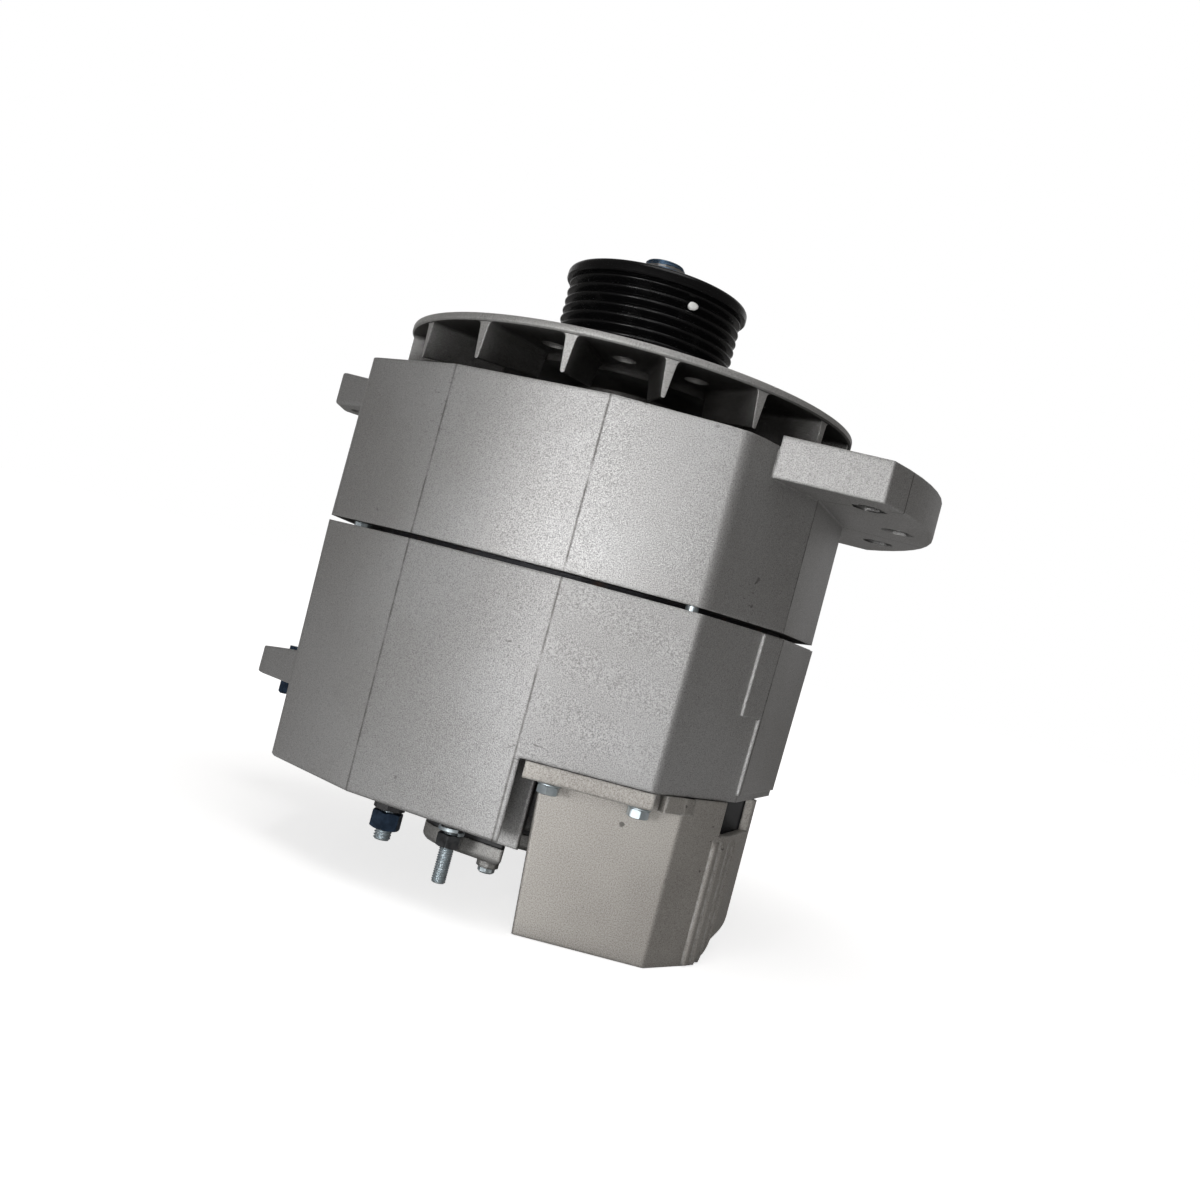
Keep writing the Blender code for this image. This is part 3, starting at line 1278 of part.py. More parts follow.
def make_brushes(dark, copper):
    """Holder and two brushes, which bear on the slip rings through the front of the bay."""
    top = slip_ring_middle(0) + SLIP_RING_WIDTH
    bottom = slip_ring_middle(1) - SLIP_RING_WIDTH
    half = HOLDER_WIDTH / 2
    plan = [
        turned_frame(-half, HOLDER_INNER),
        turned_frame(half, HOLDER_INNER),
        turned_frame(half, HOLDER_OUTER),
        turned_frame(-half, HOLDER_OUTER),
    ]
    holder = prism("brush_holder", plan, bottom, top, dark)
    slots = bmesh.new()
    for i in range(2):
        middle = slip_ring_middle(i)
        for bm, gap, outward in (
            (slots, CONTACT_GAP, (HOLDER_INNER - HOLDER_WIDTH, HOLDER_INNER + BRUSH_REACH + CONTACT_GAP)),
            (bmesh.new(), 0, (SLIP_RING_RADIUS + CONTACT_GAP, HOLDER_INNER + BRUSH_REACH)),
        ):
            wide = BRUSH_WIDTH / 2 + gap
            section = [
                turned_frame(-wide, outward[0]),
                turned_frame(wide, outward[0]),
                turned_frame(wide, outward[1]),
                turned_frame(-wide, outward[1]),
            ]
            tall = SLIP_RING_WIDTH / 2 - RUNNING_GAP + gap
            add_loft(bm, [(section, middle - tall), (section, middle + tall)])
            if bm is not slots:
                finish(bm, f"brush_{i + 1}", copper)
    boolean(holder, helper(slots, "brush slots"), "DIFFERENCE")


def box_foot(height):
    """How far the rounded foot draws the right side in at a height."""
    rise = min(height - BOX_BOTTOM, BOX_FOOT_RADIUS)
    return BOX_FOOT_RADIUS - math.sqrt(BOX_FOOT_RADIUS**2 - (BOX_FOOT_RADIUS - rise) ** 2)


def box_sides(inset):
    """The two right-hand sides of the box, flush with the housing above it."""
    scale = rear_scale(REAR_WALL_BOTTOM)
    planes = body_planes(1)
    flat = (planes[3][0], FLAT_APOTHEM * scale + BOX_PROUD - inset)
    facet = (planes[4][0], FACET_APOTHEM * scale + BOX_PROUD - inset)
    return flat, facet


def box_outline(height, inset=0.0):
    flat, facet = box_sides(inset)
    facet = (facet[0], facet[1] - box_foot(height))
    front = (0.0, BOX_FRONT - inset)
    back = (180.0, -BOX_BACK - inset)
    left = box_left(height) + inset
    return [
        Vector((left, -front[1])),
        meet(front, flat),
        meet(flat, facet),
        meet(facet, back),
        Vector((left, -BOX_BACK - inset)),
    ]


def box_levels(inset, low, high):
    levels = []
    for step in range(5):
        bend = math.radians(90 * step / 4)
        height = BOX_BOTTOM + BOX_FOOT_RADIUS * (1 - math.cos(bend))
        if height > low + MERGE:
            levels.append((box_outline(height, inset), height))
    return [(box_outline(low, inset), low)] + levels + [(box_outline(high, inset), high)]


def make_box(cast):
    """Open-topped cover below the housing: leaning left side, rounded foot, flange, window and ribs."""
    box = loft("regulator_box", box_levels(0, BOX_BOTTOM, BOX_TOP), cast, smooth=30)
    flat, facet = box_sides(0)
    edge = FLAT_APOTHEM * rear_scale(REAR_WALL_BOTTOM)
    flange_back = BOX_FRONT - BOX_WALL
    plan = rounded(
        [
            (FLANGE_LEFT, -edge),
            (FLANGE_RIGHT, -edge),
            (FLANGE_RIGHT, -flange_back),
            (FLANGE_LEFT, -flange_back),
        ],
        FLANGE_CORNER_RADIUS,
        1,
    )
    flange = add_loft(bmesh.new(), [(plan, BOX_TOP - FLANGE_THICKNESS), (plan, BOX_TOP)])
    boolean(box, helper(flange, "flange"), "UNION")
    normal, along = unit(flat[0]), unit(flat[0] + 90)
    start = (BOX_HORN_X - normal.x * flat[1]) / along.x
    end = start + BOX_HORN_X / 3
    horn = [
        normal * flat[1] + along * start,
        normal * flat[1] + along * end,
        normal * (flat[1] - BOX_WALL) + along * end,
        normal * (flat[1] - BOX_WALL) + along * start,
    ]
    horn_solid = add_loft(bmesh.new(), [(horn, BOX_TOP - FLANGE_THICKNESS), (horn, BOX_TOP)])
    boolean(box, helper(horn_solid, "box horn"), "UNION")
    ribs = bmesh.new()
    normal, along = unit(facet[0]), unit(facet[0] + 90)
    corner = meet(flat, facet)
    for i in range(FIN_COUNT):
        middle = corner.dot(along) + FIN_START + FIN_PITCH * i
        rings = []
        for share in range(6):
            bend = math.radians(90 * share / 5)
            height = BOX_BOTTOM + BOX_FOOT_RADIUS * (1 - math.cos(bend))
            rings.append((rib_section(normal, along, facet[1] - box_foot(height), middle), height))
        rings.append((rib_section(normal, along, facet[1], middle), BOX_TOP - FIN_DROP))
        add_loft(ribs, rings)
    boolean(box, helper(ribs, "box ribs"), "UNION")
    room = add_loft(bmesh.new(), box_levels(BOX_WALL, BOX_BOTTOM + BOX_WALL, BOX_TOP + BOX_WALL))
    boolean(box, helper(room, "box room"), "DIFFERENCE")
    window = [
        (BOX_WINDOW_START, -BOX_FRONT),
        (FAN_RADIUS + BOX_WALL, -BOX_FRONT),
        (FAN_RADIUS + BOX_WALL, -BOX_BACK - BOX_WINDOW_MARGIN),
        (BOX_WINDOW_START, -BOX_BACK - BOX_WINDOW_MARGIN),
    ]
    levels = [(window, BOX_TOP - BOX_WINDOW_HEIGHT), (window, BOX_TOP + BOX_WALL)]
    window_solid = add_loft(bmesh.new(), levels)
    boolean(box, helper(window_solid, "box window"), "DIFFERENCE")
    holes = bmesh.new()
    clearance = BOX_BOLT_RADIUS + CONTACT_GAP
    for spot in box_bolt_places():
        drill(holes, spot, clearance, BOX_TOP - 2 * FLANGE_THICKNESS, BOX_TOP + FLANGE_THICKNESS)
    boolean(box, helper(holes, "flange holes"), "DIFFERENCE")


def rib_section(normal, along, reach, middle):
    half = FIN_WIDTH / 2
    return [
        normal * (reach - BOX_WALL / 2) + along * (middle - half),
        normal * (reach + FIN_PROUD) + along * (middle - half * 0.5),
        normal * (reach + FIN_PROUD) + along * (middle + half * 0.5),
        normal * (reach - BOX_WALL / 2) + along * (middle + half),
    ]


def make_box_bolts(zinc):
    """Left bolt holds the flange; the right one is long and also clamps the two housings."""
    floor = BOX_TOP - FLANGE_THICKNESS - CONTACT_GAP
    ring = circle((0, 0), BOX_WASHER_RADIUS, SMALL)
    hole = circle((0, 0), BOX_BOLT_RADIUS + CONTACT_GAP, SMALL)
    washer = prism("box_washer_1", ring, -BOX_WASHER_THICKNESS, 0, zinc, smooth=40)
    bore = add_loft(bmesh.new(), [(hole, -2 * BOX_WASHER_THICKNESS), (hole, BOX_WASHER_THICKNESS)])
    boolean(washer, helper(bore, "box washer bore"), "DIFFERENCE")
    places = box_bolt_places()
    repeat(apply_all(washer), ["box_washer_1", "box_washer_2"], [(*spot, floor) for spot in places])
    seat = floor - BOX_WASHER_THICKNESS - CONTACT_GAP
    tops = (REAR_WALL_BOTTOM + BOX_BOLT_GRIP, SPLIT_FRONT + THROUGH_BOLT_GRIP)
    for i, (spot, top) in enumerate(zip(places, tops)):
        name = f"box_bolt_{i + 1}"
        bolt = bolt_mesh(name, BOX_BOLT_RADIUS, top - seat, BOX_BOLT_HEAD, BOX_BOLT_FLATS, zinc, 12.0)
        bolt.location = (*spot, seat)


def make_module(dark):
    """Voltage regulator on the floor of the box."""
    floor = BOX_BOTTOM + BOX_WALL + CONTACT_GAP
    left = BOX_LEFT_BOTTOM + 2 * BOX_WALL
    front = -BOX_FRONT + 2 * BOX_WALL
    right, back = left + MODULE_LENGTH, front + MODULE_WIDTH
    plan = [(left, front), (right, front), (right, back), (left, back)]
    prism("voltage_regulator", rounded(plan, MODULE_CORNER_RADIUS, 2), floor, floor + MODULE_HEIGHT, dark)


def sink_outline():
    wide = arc(SINK_OUTER_RADIUS, SINK_START, SINK_END, 18)
    band = arc(SINK_BAND_RADIUS, SINK_END, SINK_BAND_START, 8)
    inner = arc(SINK_INNER_RADIUS, SINK_BAND_START, SINK_START, 8)
    return wide + band + inner


def make_rectifier(aluminium, steel):
    """Two heat sinks on the terminal studs, each with its press-in diodes below."""
    for i, name in enumerate(("upper", "lower")):
        top = REAR_WALL_BOTTOM - SINK_STANDOFF - SINK_SPACING * i
        bottom = top - SINK_THICKNESS
        sink = prism(f"rectifier_sink_{name}", sink_outline(), bottom, top, aluminium)
        holes = bmesh.new()
        for spot, radius in terminal_places():
            drill(holes, spot, radius + CONTACT_GAP, bottom - SINK_THICKNESS, top + SINK_THICKNESS)
        boolean(sink, helper(holes, f"{name} sink holes"), "DIFFERENCE")
        profile = [
            (0, -CONTACT_GAP),
            (DIODE_RADIUS, -CONTACT_GAP),
            (DIODE_RADIUS, -DIODE_HEIGHT * 0.6),
            (DIODE_RADIUS * 0.6, -DIODE_HEIGHT * 0.75),
            (DIODE_RADIUS * 0.2, -DIODE_HEIGHT * 0.8),
            (DIODE_RADIUS * 0.2, -DIODE_HEIGHT),
            (0, -DIODE_HEIGHT),
        ]
        names = [f"diode_{name}_{k + 1}" for k in range(2)]
        first = turned(names[0], profile, SMALL, steel)
        spots = [polar(DIODE_CIRCLE, DIODE_FIRST + DIODE_STEP * k) for k in range(2)]
        repeat(first, names, [(*spot, bottom) for spot in spots])


def terminal_bushes(name, bush_radius, stud_radius, spot, dark):
    """Insulating sleeves between and below the two heat sinks."""
    top = REAR_WALL_BOTTOM
    sink = top - SINK_STANDOFF
    spans = (
        (sink - SINK_THICKNESS, sink - SINK_SPACING),
        (sink - SINK_SPACING - SINK_THICKNESS, top - TERMINAL_NUT_TOP + CONTACT_GAP),
    )
    for i, (high, low) in enumerate(spans):
        profile = [
            (stud_radius + CONTACT_GAP, high - CONTACT_GAP),
            (bush_radius, high - CONTACT_GAP),
            (bush_radius, low + CONTACT_GAP),
            (stud_radius + CONTACT_GAP, low + CONTACT_GAP),
        ]
        bush = turned(f"{name}_bush_{i + 1}", profile, SMALL, dark)
        bush.location = (*spot, 0)


def hollow_nut(name, flats, height, radius, top, spot, surface, turn):
    outline = hexagon(flats, turn)
    crown = [point * 0.92 for point in outline]
    low = -height
    nut = loft(name, [(crown, low), (outline, low * 0.88), (outline, low * 0.12), (crown, 0)], surface)
    hole = circle((0, 0), radius + CONTACT_GAP, SMALL)
    bore = add_loft(bmesh.new(), [(hole, -2 * height), (hole, height)])
    boolean(nut, helper(bore, f"{name} bore"), "DIFFERENCE")
    apply_all(nut).location = (*spot, top)


def make_terminals(zinc, blue, dark):
    top = REAR_WALL_BOTTOM + STUD_ANCHOR - CONTACT_GAP
    nut_top = REAR_WALL_BOTTOM - TERMINAL_NUT_TOP
    for name, spot, radius, bush, flats, height, below, turn in (
        (
            "output",
            (OUTPUT_STUD_X, OUTPUT_STUD_Y),
            OUTPUT_STUD_RADIUS,
            OUTPUT_BUSH_RADIUS,
            OUTPUT_NUT_FLATS,
            OUTPUT_NUT_HEIGHT,
            OUTPUT_STUD_BELOW,
            10.0,
        ),
        (
            "signal",
            (SIGNAL_STUD_X, SIGNAL_STUD_Y),
            SIGNAL_STUD_RADIUS,
            SIGNAL_BUSH_RADIUS,
            SIGNAL_NUT_FLATS,
            SIGNAL_NUT_HEIGHT,
            SIGNAL_STUD_BELOW,
            25.0,
        ),
    ):
        hollow_nut(f"{name}_nut", flats, height, radius, nut_top, spot, blue, turn)
        end = nut_top - height - below
        chamfer = radius * 0.25
        profile = [(0, top), (radius, top), (radius, end + chamfer), (radius - chamfer, end), (0, end)]
        stud = turned(f"{name}_stud", profile, SMALL, zinc)
        stud.location = (*spot, 0)
        terminal_bushes(name, bush, radius, spot, dark)


def make_through_bolts(zinc):
    seat = REAR_WALL_BOTTOM + THROUGH_HEAD_DEPTH - CONTACT_GAP
    length = SPLIT_FRONT + THROUGH_BOLT_GRIP - seat
    head = THROUGH_HEAD_DEPTH - 0.002
    bolt = bolt_mesh("through_bolt_1", THROUGH_BOLT_RADIUS, length, head, THROUGH_HEAD_FLATS, zinc)
    places = through_bolt_places()
    names = [f"through_bolt_{i + 1}" for i in range(len(places))]
    repeat(bolt, names, [(*spot, seat) for spot in places])


def make_lock_screw(blue):
    """Set screw that rises into the rear hinge lug beside its bore."""
    low = REAR_LUG_BOTTOM - LOCK_SCREW_DROP
    profile = [
        (0, low + LOCK_SCREW_LENGTH),
        (LOCK_SCREW_RADIUS, low + LOCK_SCREW_LENGTH),
        (LOCK_SCREW_RADIUS, low + LOCK_SCREW_RADIUS * 0.3),
        (LOCK_SCREW_RADIUS * 0.7, low),
        (0, low),
    ]
    screw = turned("lug_set_screw", profile, SMALL, blue)
    screw.location = (*lock_screw_place(), 0)


def scene_setup():
    for item in list(bpy.data.objects):
        bpy.data.objects.remove(item, do_unlink=True)


def main():
    scene_setup()
    cast = material("blasted aluminium", (0.50, 0.50, 0.49), 0.4, 0.62)
    black = material("black pulley paint", (0.012, 0.012, 0.013), 0.2, 0.28)
    steel = material("turned steel", (0.45, 0.45, 0.46), 0.9, 0.35)
    zinc = material("zinc plate", (0.50, 0.56, 0.60), 0.85, 0.32)
    copper = material("enamelled copper", (0.42, 0.16, 0.07), 0.5, 0.4)
    iron = material("black iron", (0.06, 0.06, 0.065), 0.6, 0.55)
    dark = material("dark moulding", (0.03, 0.03, 0.032), 0.0, 0.5)
    aluminium = material("plain aluminium", (0.6, 0.6, 0.6), 0.9, 0.4)
    blue = material("dark blue passivated steel", (0.06, 0.10, 0.16), 0.8, 0.3)
    brass = material("bearing brass", (0.55, 0.40, 0.15), 0.8, 0.35)
    rotor = bpy.data.objects.new("rotor axis", None)
    bpy.context.scene.collection.objects.link(rotor)
    key_bottom = make_shaft(steel, rotor)
    make_key(steel, rotor, key_bottom)
    make_pulley(black, rotor, key_bottom)
    make_pulley_nut(zinc, rotor)
    make_fan(cast, rotor)
    make_spacer(steel, rotor)
    make_bearing(
        "front",
        FRONT_BEARING_RADIUS,
        FRONT_JOURNAL_RADIUS + CONTACT_GAP,
        FRONT_BEARING_TOP,
        FRONT_BEARING_BOTTOM,
        BALLS_FRONT,
        steel,
        brass,
        rotor,
    )
    make_bearing(
        "rear",
        REAR_BEARING_RADIUS,
        REAR_JOURNAL_RADIUS + CONTACT_GAP,
        REAR_BEARING_TOP,
        REAR_BEARING_BOTTOM,
        BALLS_REAR,
        steel,
        brass,
        rotor,
    )
    make_front_housing(cast)
    make_retainer(steel, zinc)
    make_stator(iron, copper)
    make_poles(iron, copper, rotor)
    make_slip_rings(copper, dark, rotor)
    make_rear_housing(cast)
    make_cover(cast, zinc, dark)
    make_brushes(dark, copper)
    make_box(cast)
    make_box_bolts(zinc)
    make_module(dark)
    make_rectifier(aluminium, steel)
    make_terminals(zinc, blue, dark)
    make_through_bolts(zinc)
    make_lock_screw(blue)


main()
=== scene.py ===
"""Belt-driven heavy-duty alternator: fine forms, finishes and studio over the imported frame.

Units are metres, +Z runs along the shaft out of the pulley, and angles in degrees are measured
about the shaft from -Y toward +X.
"""

import json
import logging
import math
from dataclasses import dataclass, field
from enum import Enum
from typing import Callable, Iterable, Sequence

import bmesh
import bpy
from mathutils import Matrix, Vector

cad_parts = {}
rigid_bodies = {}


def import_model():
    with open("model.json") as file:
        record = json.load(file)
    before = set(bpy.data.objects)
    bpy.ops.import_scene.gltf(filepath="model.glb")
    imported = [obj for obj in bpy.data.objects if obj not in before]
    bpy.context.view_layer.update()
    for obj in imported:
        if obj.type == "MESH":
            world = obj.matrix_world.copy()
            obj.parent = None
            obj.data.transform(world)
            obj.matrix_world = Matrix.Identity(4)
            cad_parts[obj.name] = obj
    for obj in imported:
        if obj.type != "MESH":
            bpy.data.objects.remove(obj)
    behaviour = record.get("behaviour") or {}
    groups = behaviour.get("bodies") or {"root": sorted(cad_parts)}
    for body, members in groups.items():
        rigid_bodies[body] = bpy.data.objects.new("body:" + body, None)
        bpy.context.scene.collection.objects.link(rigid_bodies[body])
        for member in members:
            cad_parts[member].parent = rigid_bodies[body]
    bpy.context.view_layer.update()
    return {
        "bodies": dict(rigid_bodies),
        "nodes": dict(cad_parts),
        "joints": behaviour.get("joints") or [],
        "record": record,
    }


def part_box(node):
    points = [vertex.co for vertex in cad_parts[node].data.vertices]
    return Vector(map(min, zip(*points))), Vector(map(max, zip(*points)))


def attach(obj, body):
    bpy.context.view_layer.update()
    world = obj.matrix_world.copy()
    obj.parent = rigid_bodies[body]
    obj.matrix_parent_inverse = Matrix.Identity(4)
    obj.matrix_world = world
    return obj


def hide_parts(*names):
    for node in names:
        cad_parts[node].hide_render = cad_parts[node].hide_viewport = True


LOG = logging.getLogger("alternator")

# Distance within which points join, and how far a test stays clear of a face
MERGE: float = 1e-6
CLEARANCE: float = 0.0002

# Crease angles in degrees: hard edges for hardware, none for threads
HARD: float = 30.0
SMOOTH: float = 180.0

# Shares of a thread's pitch, of a hexagon's half width, of a bore and of a washer's thickness
THREAD_DEPTH: float = 0.55
THREAD_FLANK: float = 1.25
CHAMFER_FACE: float = 0.94
CHAMFER_SLOPE: float = 0.5
BORE_CHAMFER: float = 0.12
WASHER_EASE: float = 0.2

Point2 = tuple[float, float]
Colour = tuple[float, float, float]
Socket = bpy.types.NodeSocket


class Body(Enum):
    """The two bodies of the frame."""

    ROTOR = "rotor"
    HOUSING = "stator_body"


class Slot(Enum):
    """Names of the record's material slots, one named with each new piece."""

    CAST = "cast_aluminium"
    PAINT = "pulley_paint"
    STEEL = "steel"
    ZINC = "zinc_plate"
    BLUE = "blue_passivated_steel"


# Geometry


def polar(radius: float, angle: float) -> Vector:
    """Point at a radius and an angle in degrees, from -Y toward +X."""
    turn = math.radians(angle)
    return Vector((math.sin(turn), -math.cos(turn))) * radius


def raised(spot: Vector, height: float, centre: Point2 = (0.0, 0.0)) -> Vector:
    """Lifts a flat point, measured from a centre, to a height."""
    return Vector((centre[0] + spot.x, centre[1] + spot.y, height))


def make_object(name: str, bm: bmesh.types.BMesh, crease: float = 35.0) -> bpy.types.Object:
    """Turns a bmesh into a shaded object in the scene.

    Args:
        name: Name of the new object.
        bm: The mesh, which is freed.
        crease: Angle in degrees above which an edge stays sharp.

    Returns:
        The new object.
    """
    bmesh.ops.remove_doubles(bm, verts=bm.verts, dist=MERGE)
    bmesh.ops.recalc_face_normals(bm, faces=bm.faces)
    mesh = bpy.data.meshes.new(name)
    bm.to_mesh(mesh)
    bm.free()
    mesh.shade_smooth()
    mesh.set_sharp_from_angle(angle=math.radians(crease))
    made = bpy.data.objects.new(name, mesh)
    bpy.context.scene.collection.objects.link(made)
    return made


def add_rings(bm: bmesh.types.BMesh, rings: Sequence[Sequence[Vector]], closed: bool) -> None:
    """Adds a skin through rings of points.

    Args:
        bm: The mesh to add to.
        rings: Rings of equal point count, or of one point for a pole.
        closed: Whether the last ring joins the first; otherwise open rings are capped.
    """
    made = [[bm.verts.new(point) for point in ring] for ring in rings]
    pairs = list(zip(made, made[1:]))
    if closed:
        pairs.append((made[-1], made[0]))
    steps = max(len(ring) for ring in made)
    for low, high in pairs:
        for i in range(steps):
            j = (i + 1) % steps
            corners = [low[i % len(low)], low[j % len(low)], high[j % len(high)], high[i % len(high)]]
            unique = list(dict.fromkeys(corners))
            if len(unique) > 2:
                bm.faces.new(unique)
    if not closed:
        for ring in (made[0], made[-1]):
            if len(ring) > 2:
                bm.faces.new(ring)


def add_turned(
    bm: bmesh.types.BMesh, profile: Sequence[Point2], steps: int, centre: Point2 = (0.0, 0.0)
) -> None:
    """Adds a turned solid.

    Args:
        bm: The mesh to add to.
        profile: Points of radius and height; a profile that stays off the axis is closed on itself.
        steps: Facets round the turn.
        centre: Where the axis stands.
    """
    rings = []
    for radius, height in profile:
        count = steps if radius > MERGE else 1
        ring = []
        for i in range(count):
            ring.append(raised(polar(radius, 360 * i / count), height, centre))
        rings.append(ring)
    on_axis = min(profile[0][0], profile[-1][0]) <= MERGE
    add_rings(bm, rings, closed=not on_axis)


def add_thread(
    bm: bmesh.types.BMesh, centre: Point2, radius: float, pitch: float, low: float, high: float
) -> None:
    """Adds a threaded bar with a lead-in at both ends.

    Args:
        bm: The mesh to add to.
        centre: Where the axis stands.
        radius: Outer radius of the thread.
        pitch: Distance between crests.
        low: Height of the lower end.
        high: Height of the upper end.
    """
    steps, rows_per_pitch = 32, 8
    depth = THREAD_DEPTH * pitch
    rows = max(2, round((high - low) / pitch * rows_per_pitch))
    rings = []
    for row in range(rows + 1):
        height = low + (high - low) * row / rows
        lead = min(height - low, high - height)
        ring = []
        for i in range(steps):
            phase = (height / pitch - i / steps) % 1.0
            wave = min(1.0, THREAD_FLANK * abs(2 * phase - 1))
            reach = min(radius - depth * (1 - wave), radius - depth + lead)
            ring.append(raised(polar(reach, 360 * i / steps), height, centre))
        rings.append(ring)
    add_rings(bm, rings, closed=False)


def add_hexagon(
    bm: bmesh.types.BMesh,
    centre: Point2,
    flats: float,
    low: float,
    high: float,
    turn: float,
    bore: float = 0.0,
) -> None:
    """Adds a hexagon head or nut with chamfered corners.

    Args:
        bm: The mesh to add to.
        centre: Where the axis stands.
        flats: Width across flats.
        low: Height of the lower face.
        high: Height of the upper face.
        turn: Angle of a corner in degrees.
        bore: Radius of the hole, or 0 for a solid head.
    """
    steps = 48
    apothem = flats / 2
    face = apothem * CHAMFER_FACE

    def ring(reach: float | None, height: float, side: int) -> list[Vector]:
        """One ring of the head.

        Args:
            reach: Its radius, or nothing to follow the hexagon and drop with the chamfer.
            height: Its height.
            side: 1 at the lower end and -1 at the upper.

        Returns:
            The ring's points.
        """
        points = []
        for i in range(steps):
            angle = 360 * i / steps
            outer = apothem / math.cos(math.radians((angle - turn + 30) % 60 - 30))
            drop = 0.0 if reach is not None else side * CHAMFER_SLOPE * (outer - face)
            spot = polar(reach if reach is not None else outer, angle)
            points.append(raised(spot, height + drop, centre))
        return points

    rings = [ring(face, low, 1), ring(None, low, 1), ring(None, high, -1), ring(face, high, -1)]
    if bore > 0:
        ease = bore * BORE_CHAMFER
        rings = [ring(bore + ease, low, 1)] + rings + [ring(bore + ease, high, -1)]
        rings += [ring(bore, high - ease, -1), ring(bore, low + ease, 1)]
    add_rings(bm, rings, closed=bore > 0)


def add_washer(
    bm: bmesh.types.BMesh, centre: Point2, bore: float, radius: float, low: float, high: float
) -> None:
    """Adds a flat washer with eased edges.

    Args:
        bm: The mesh to add to.
        centre: Where the axis stands.
        bore: Radius of the hole.
        radius: Outer radius.
        low: Height of the lower face.
        high: Height of the upper face.
    """
    ease = (high - low) * WASHER_EASE
    profile = [
        (bore, low + ease),
        (bore + ease, low),
        (radius - ease, low),
        (radius, low + ease),
        (radius, high - ease),
        (radius - ease, high),
        (bore + ease, high),
        (bore, high - ease),
    ]
    add_turned(bm, profile, 40, centre)


def cut(target: bpy.types.Object, cutter: bpy.types.Object) -> None:
    """Cuts one object from another and removes the cutter.

    Args:
        target: The object to cut.
        cutter: The closed object that is taken away.
    """
    step = target.modifiers.new("cut", "BOOLEAN")
    step.operation = "DIFFERENCE"
    step.solver = "EXACT"
    step.object = cutter
    graph = bpy.context.evaluated_depsgraph_get()
    mesh = bpy.data.meshes.new_from_object(target.evaluated_get(graph))
    target.modifiers.clear()
    target.data = mesh
    bpy.data.objects.remove(cutter)


def round_edges(
    bm: bmesh.types.BMesh, inside: Callable[[Vector], bool], width: float, segments: int = 3
) -> None:
    """Rounds the edges whose middles lie in a region.

    Args:
        bm: The mesh to change.
        inside: Tells whether an edge's middle lies in the region.
        width: Width of the rounding.
        segments: Facets across the rounding.
    """
    sharp = math.radians(30)
    edges = []
    for edge in bm.edges:
        middle = (edge.verts[0].co + edge.verts[1].co) / 2
        if edge.is_manifold and edge.calc_face_angle(0) > sharp and inside(middle):
            edges.append(edge)
    bmesh.ops.bevel(
        bm,
        geom=edges,
        offset=width,
        segments=segments,
        profile=0.5,
        affect="EDGES",
        clamp_overlap=True,
    )


def eased_copy(
    node: str,
    name: str,
    width: float,
    shape: Callable[[bmesh.types.BMesh], None] | None = None,
    segments: int = 2,
    crease: float = 32.0,
) -> bpy.types.Object:
    """Copies a solid of the frame and rounds its edges.

    Args:
        node: Name of the solid.
        name: Name of the new piece.
        width: Width of the rounding.
        shape: What is done to the copied mesh first, or nothing.
        segments: Facets across the rounding.
        crease: Angle in degrees above which an edge is rounded.

    Returns:
        The new piece, which stands for the solid.
    """
    source = bpy.data.objects[node]
    bm = bmesh.new()
    bm.from_mesh(source.data)
    bmesh.ops.remove_doubles(bm, verts=bm.verts, dist=MERGE * 2)
    bmesh.ops.dissolve_limit(bm, angle_limit=math.radians(0.6), verts=bm.verts, edges=bm.edges)
    if shape:
        shape(bm)
    made = make_object(name, bm, crease)
    bevel = made.modifiers.new("eased edges", "BEVEL")
    bevel.width = width
    bevel.segments = segments
    bevel.limit_method = "ANGLE"
    bevel.angle_limit = math.radians(crease)
    bevel.miter_outer = "MITER_ARC"
    level = made.modifiers.new("flat faces", "WEIGHTED_NORMAL")
    level.keep_sharp = True
    level.weight = 100
    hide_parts(node)
    return made


# Shading


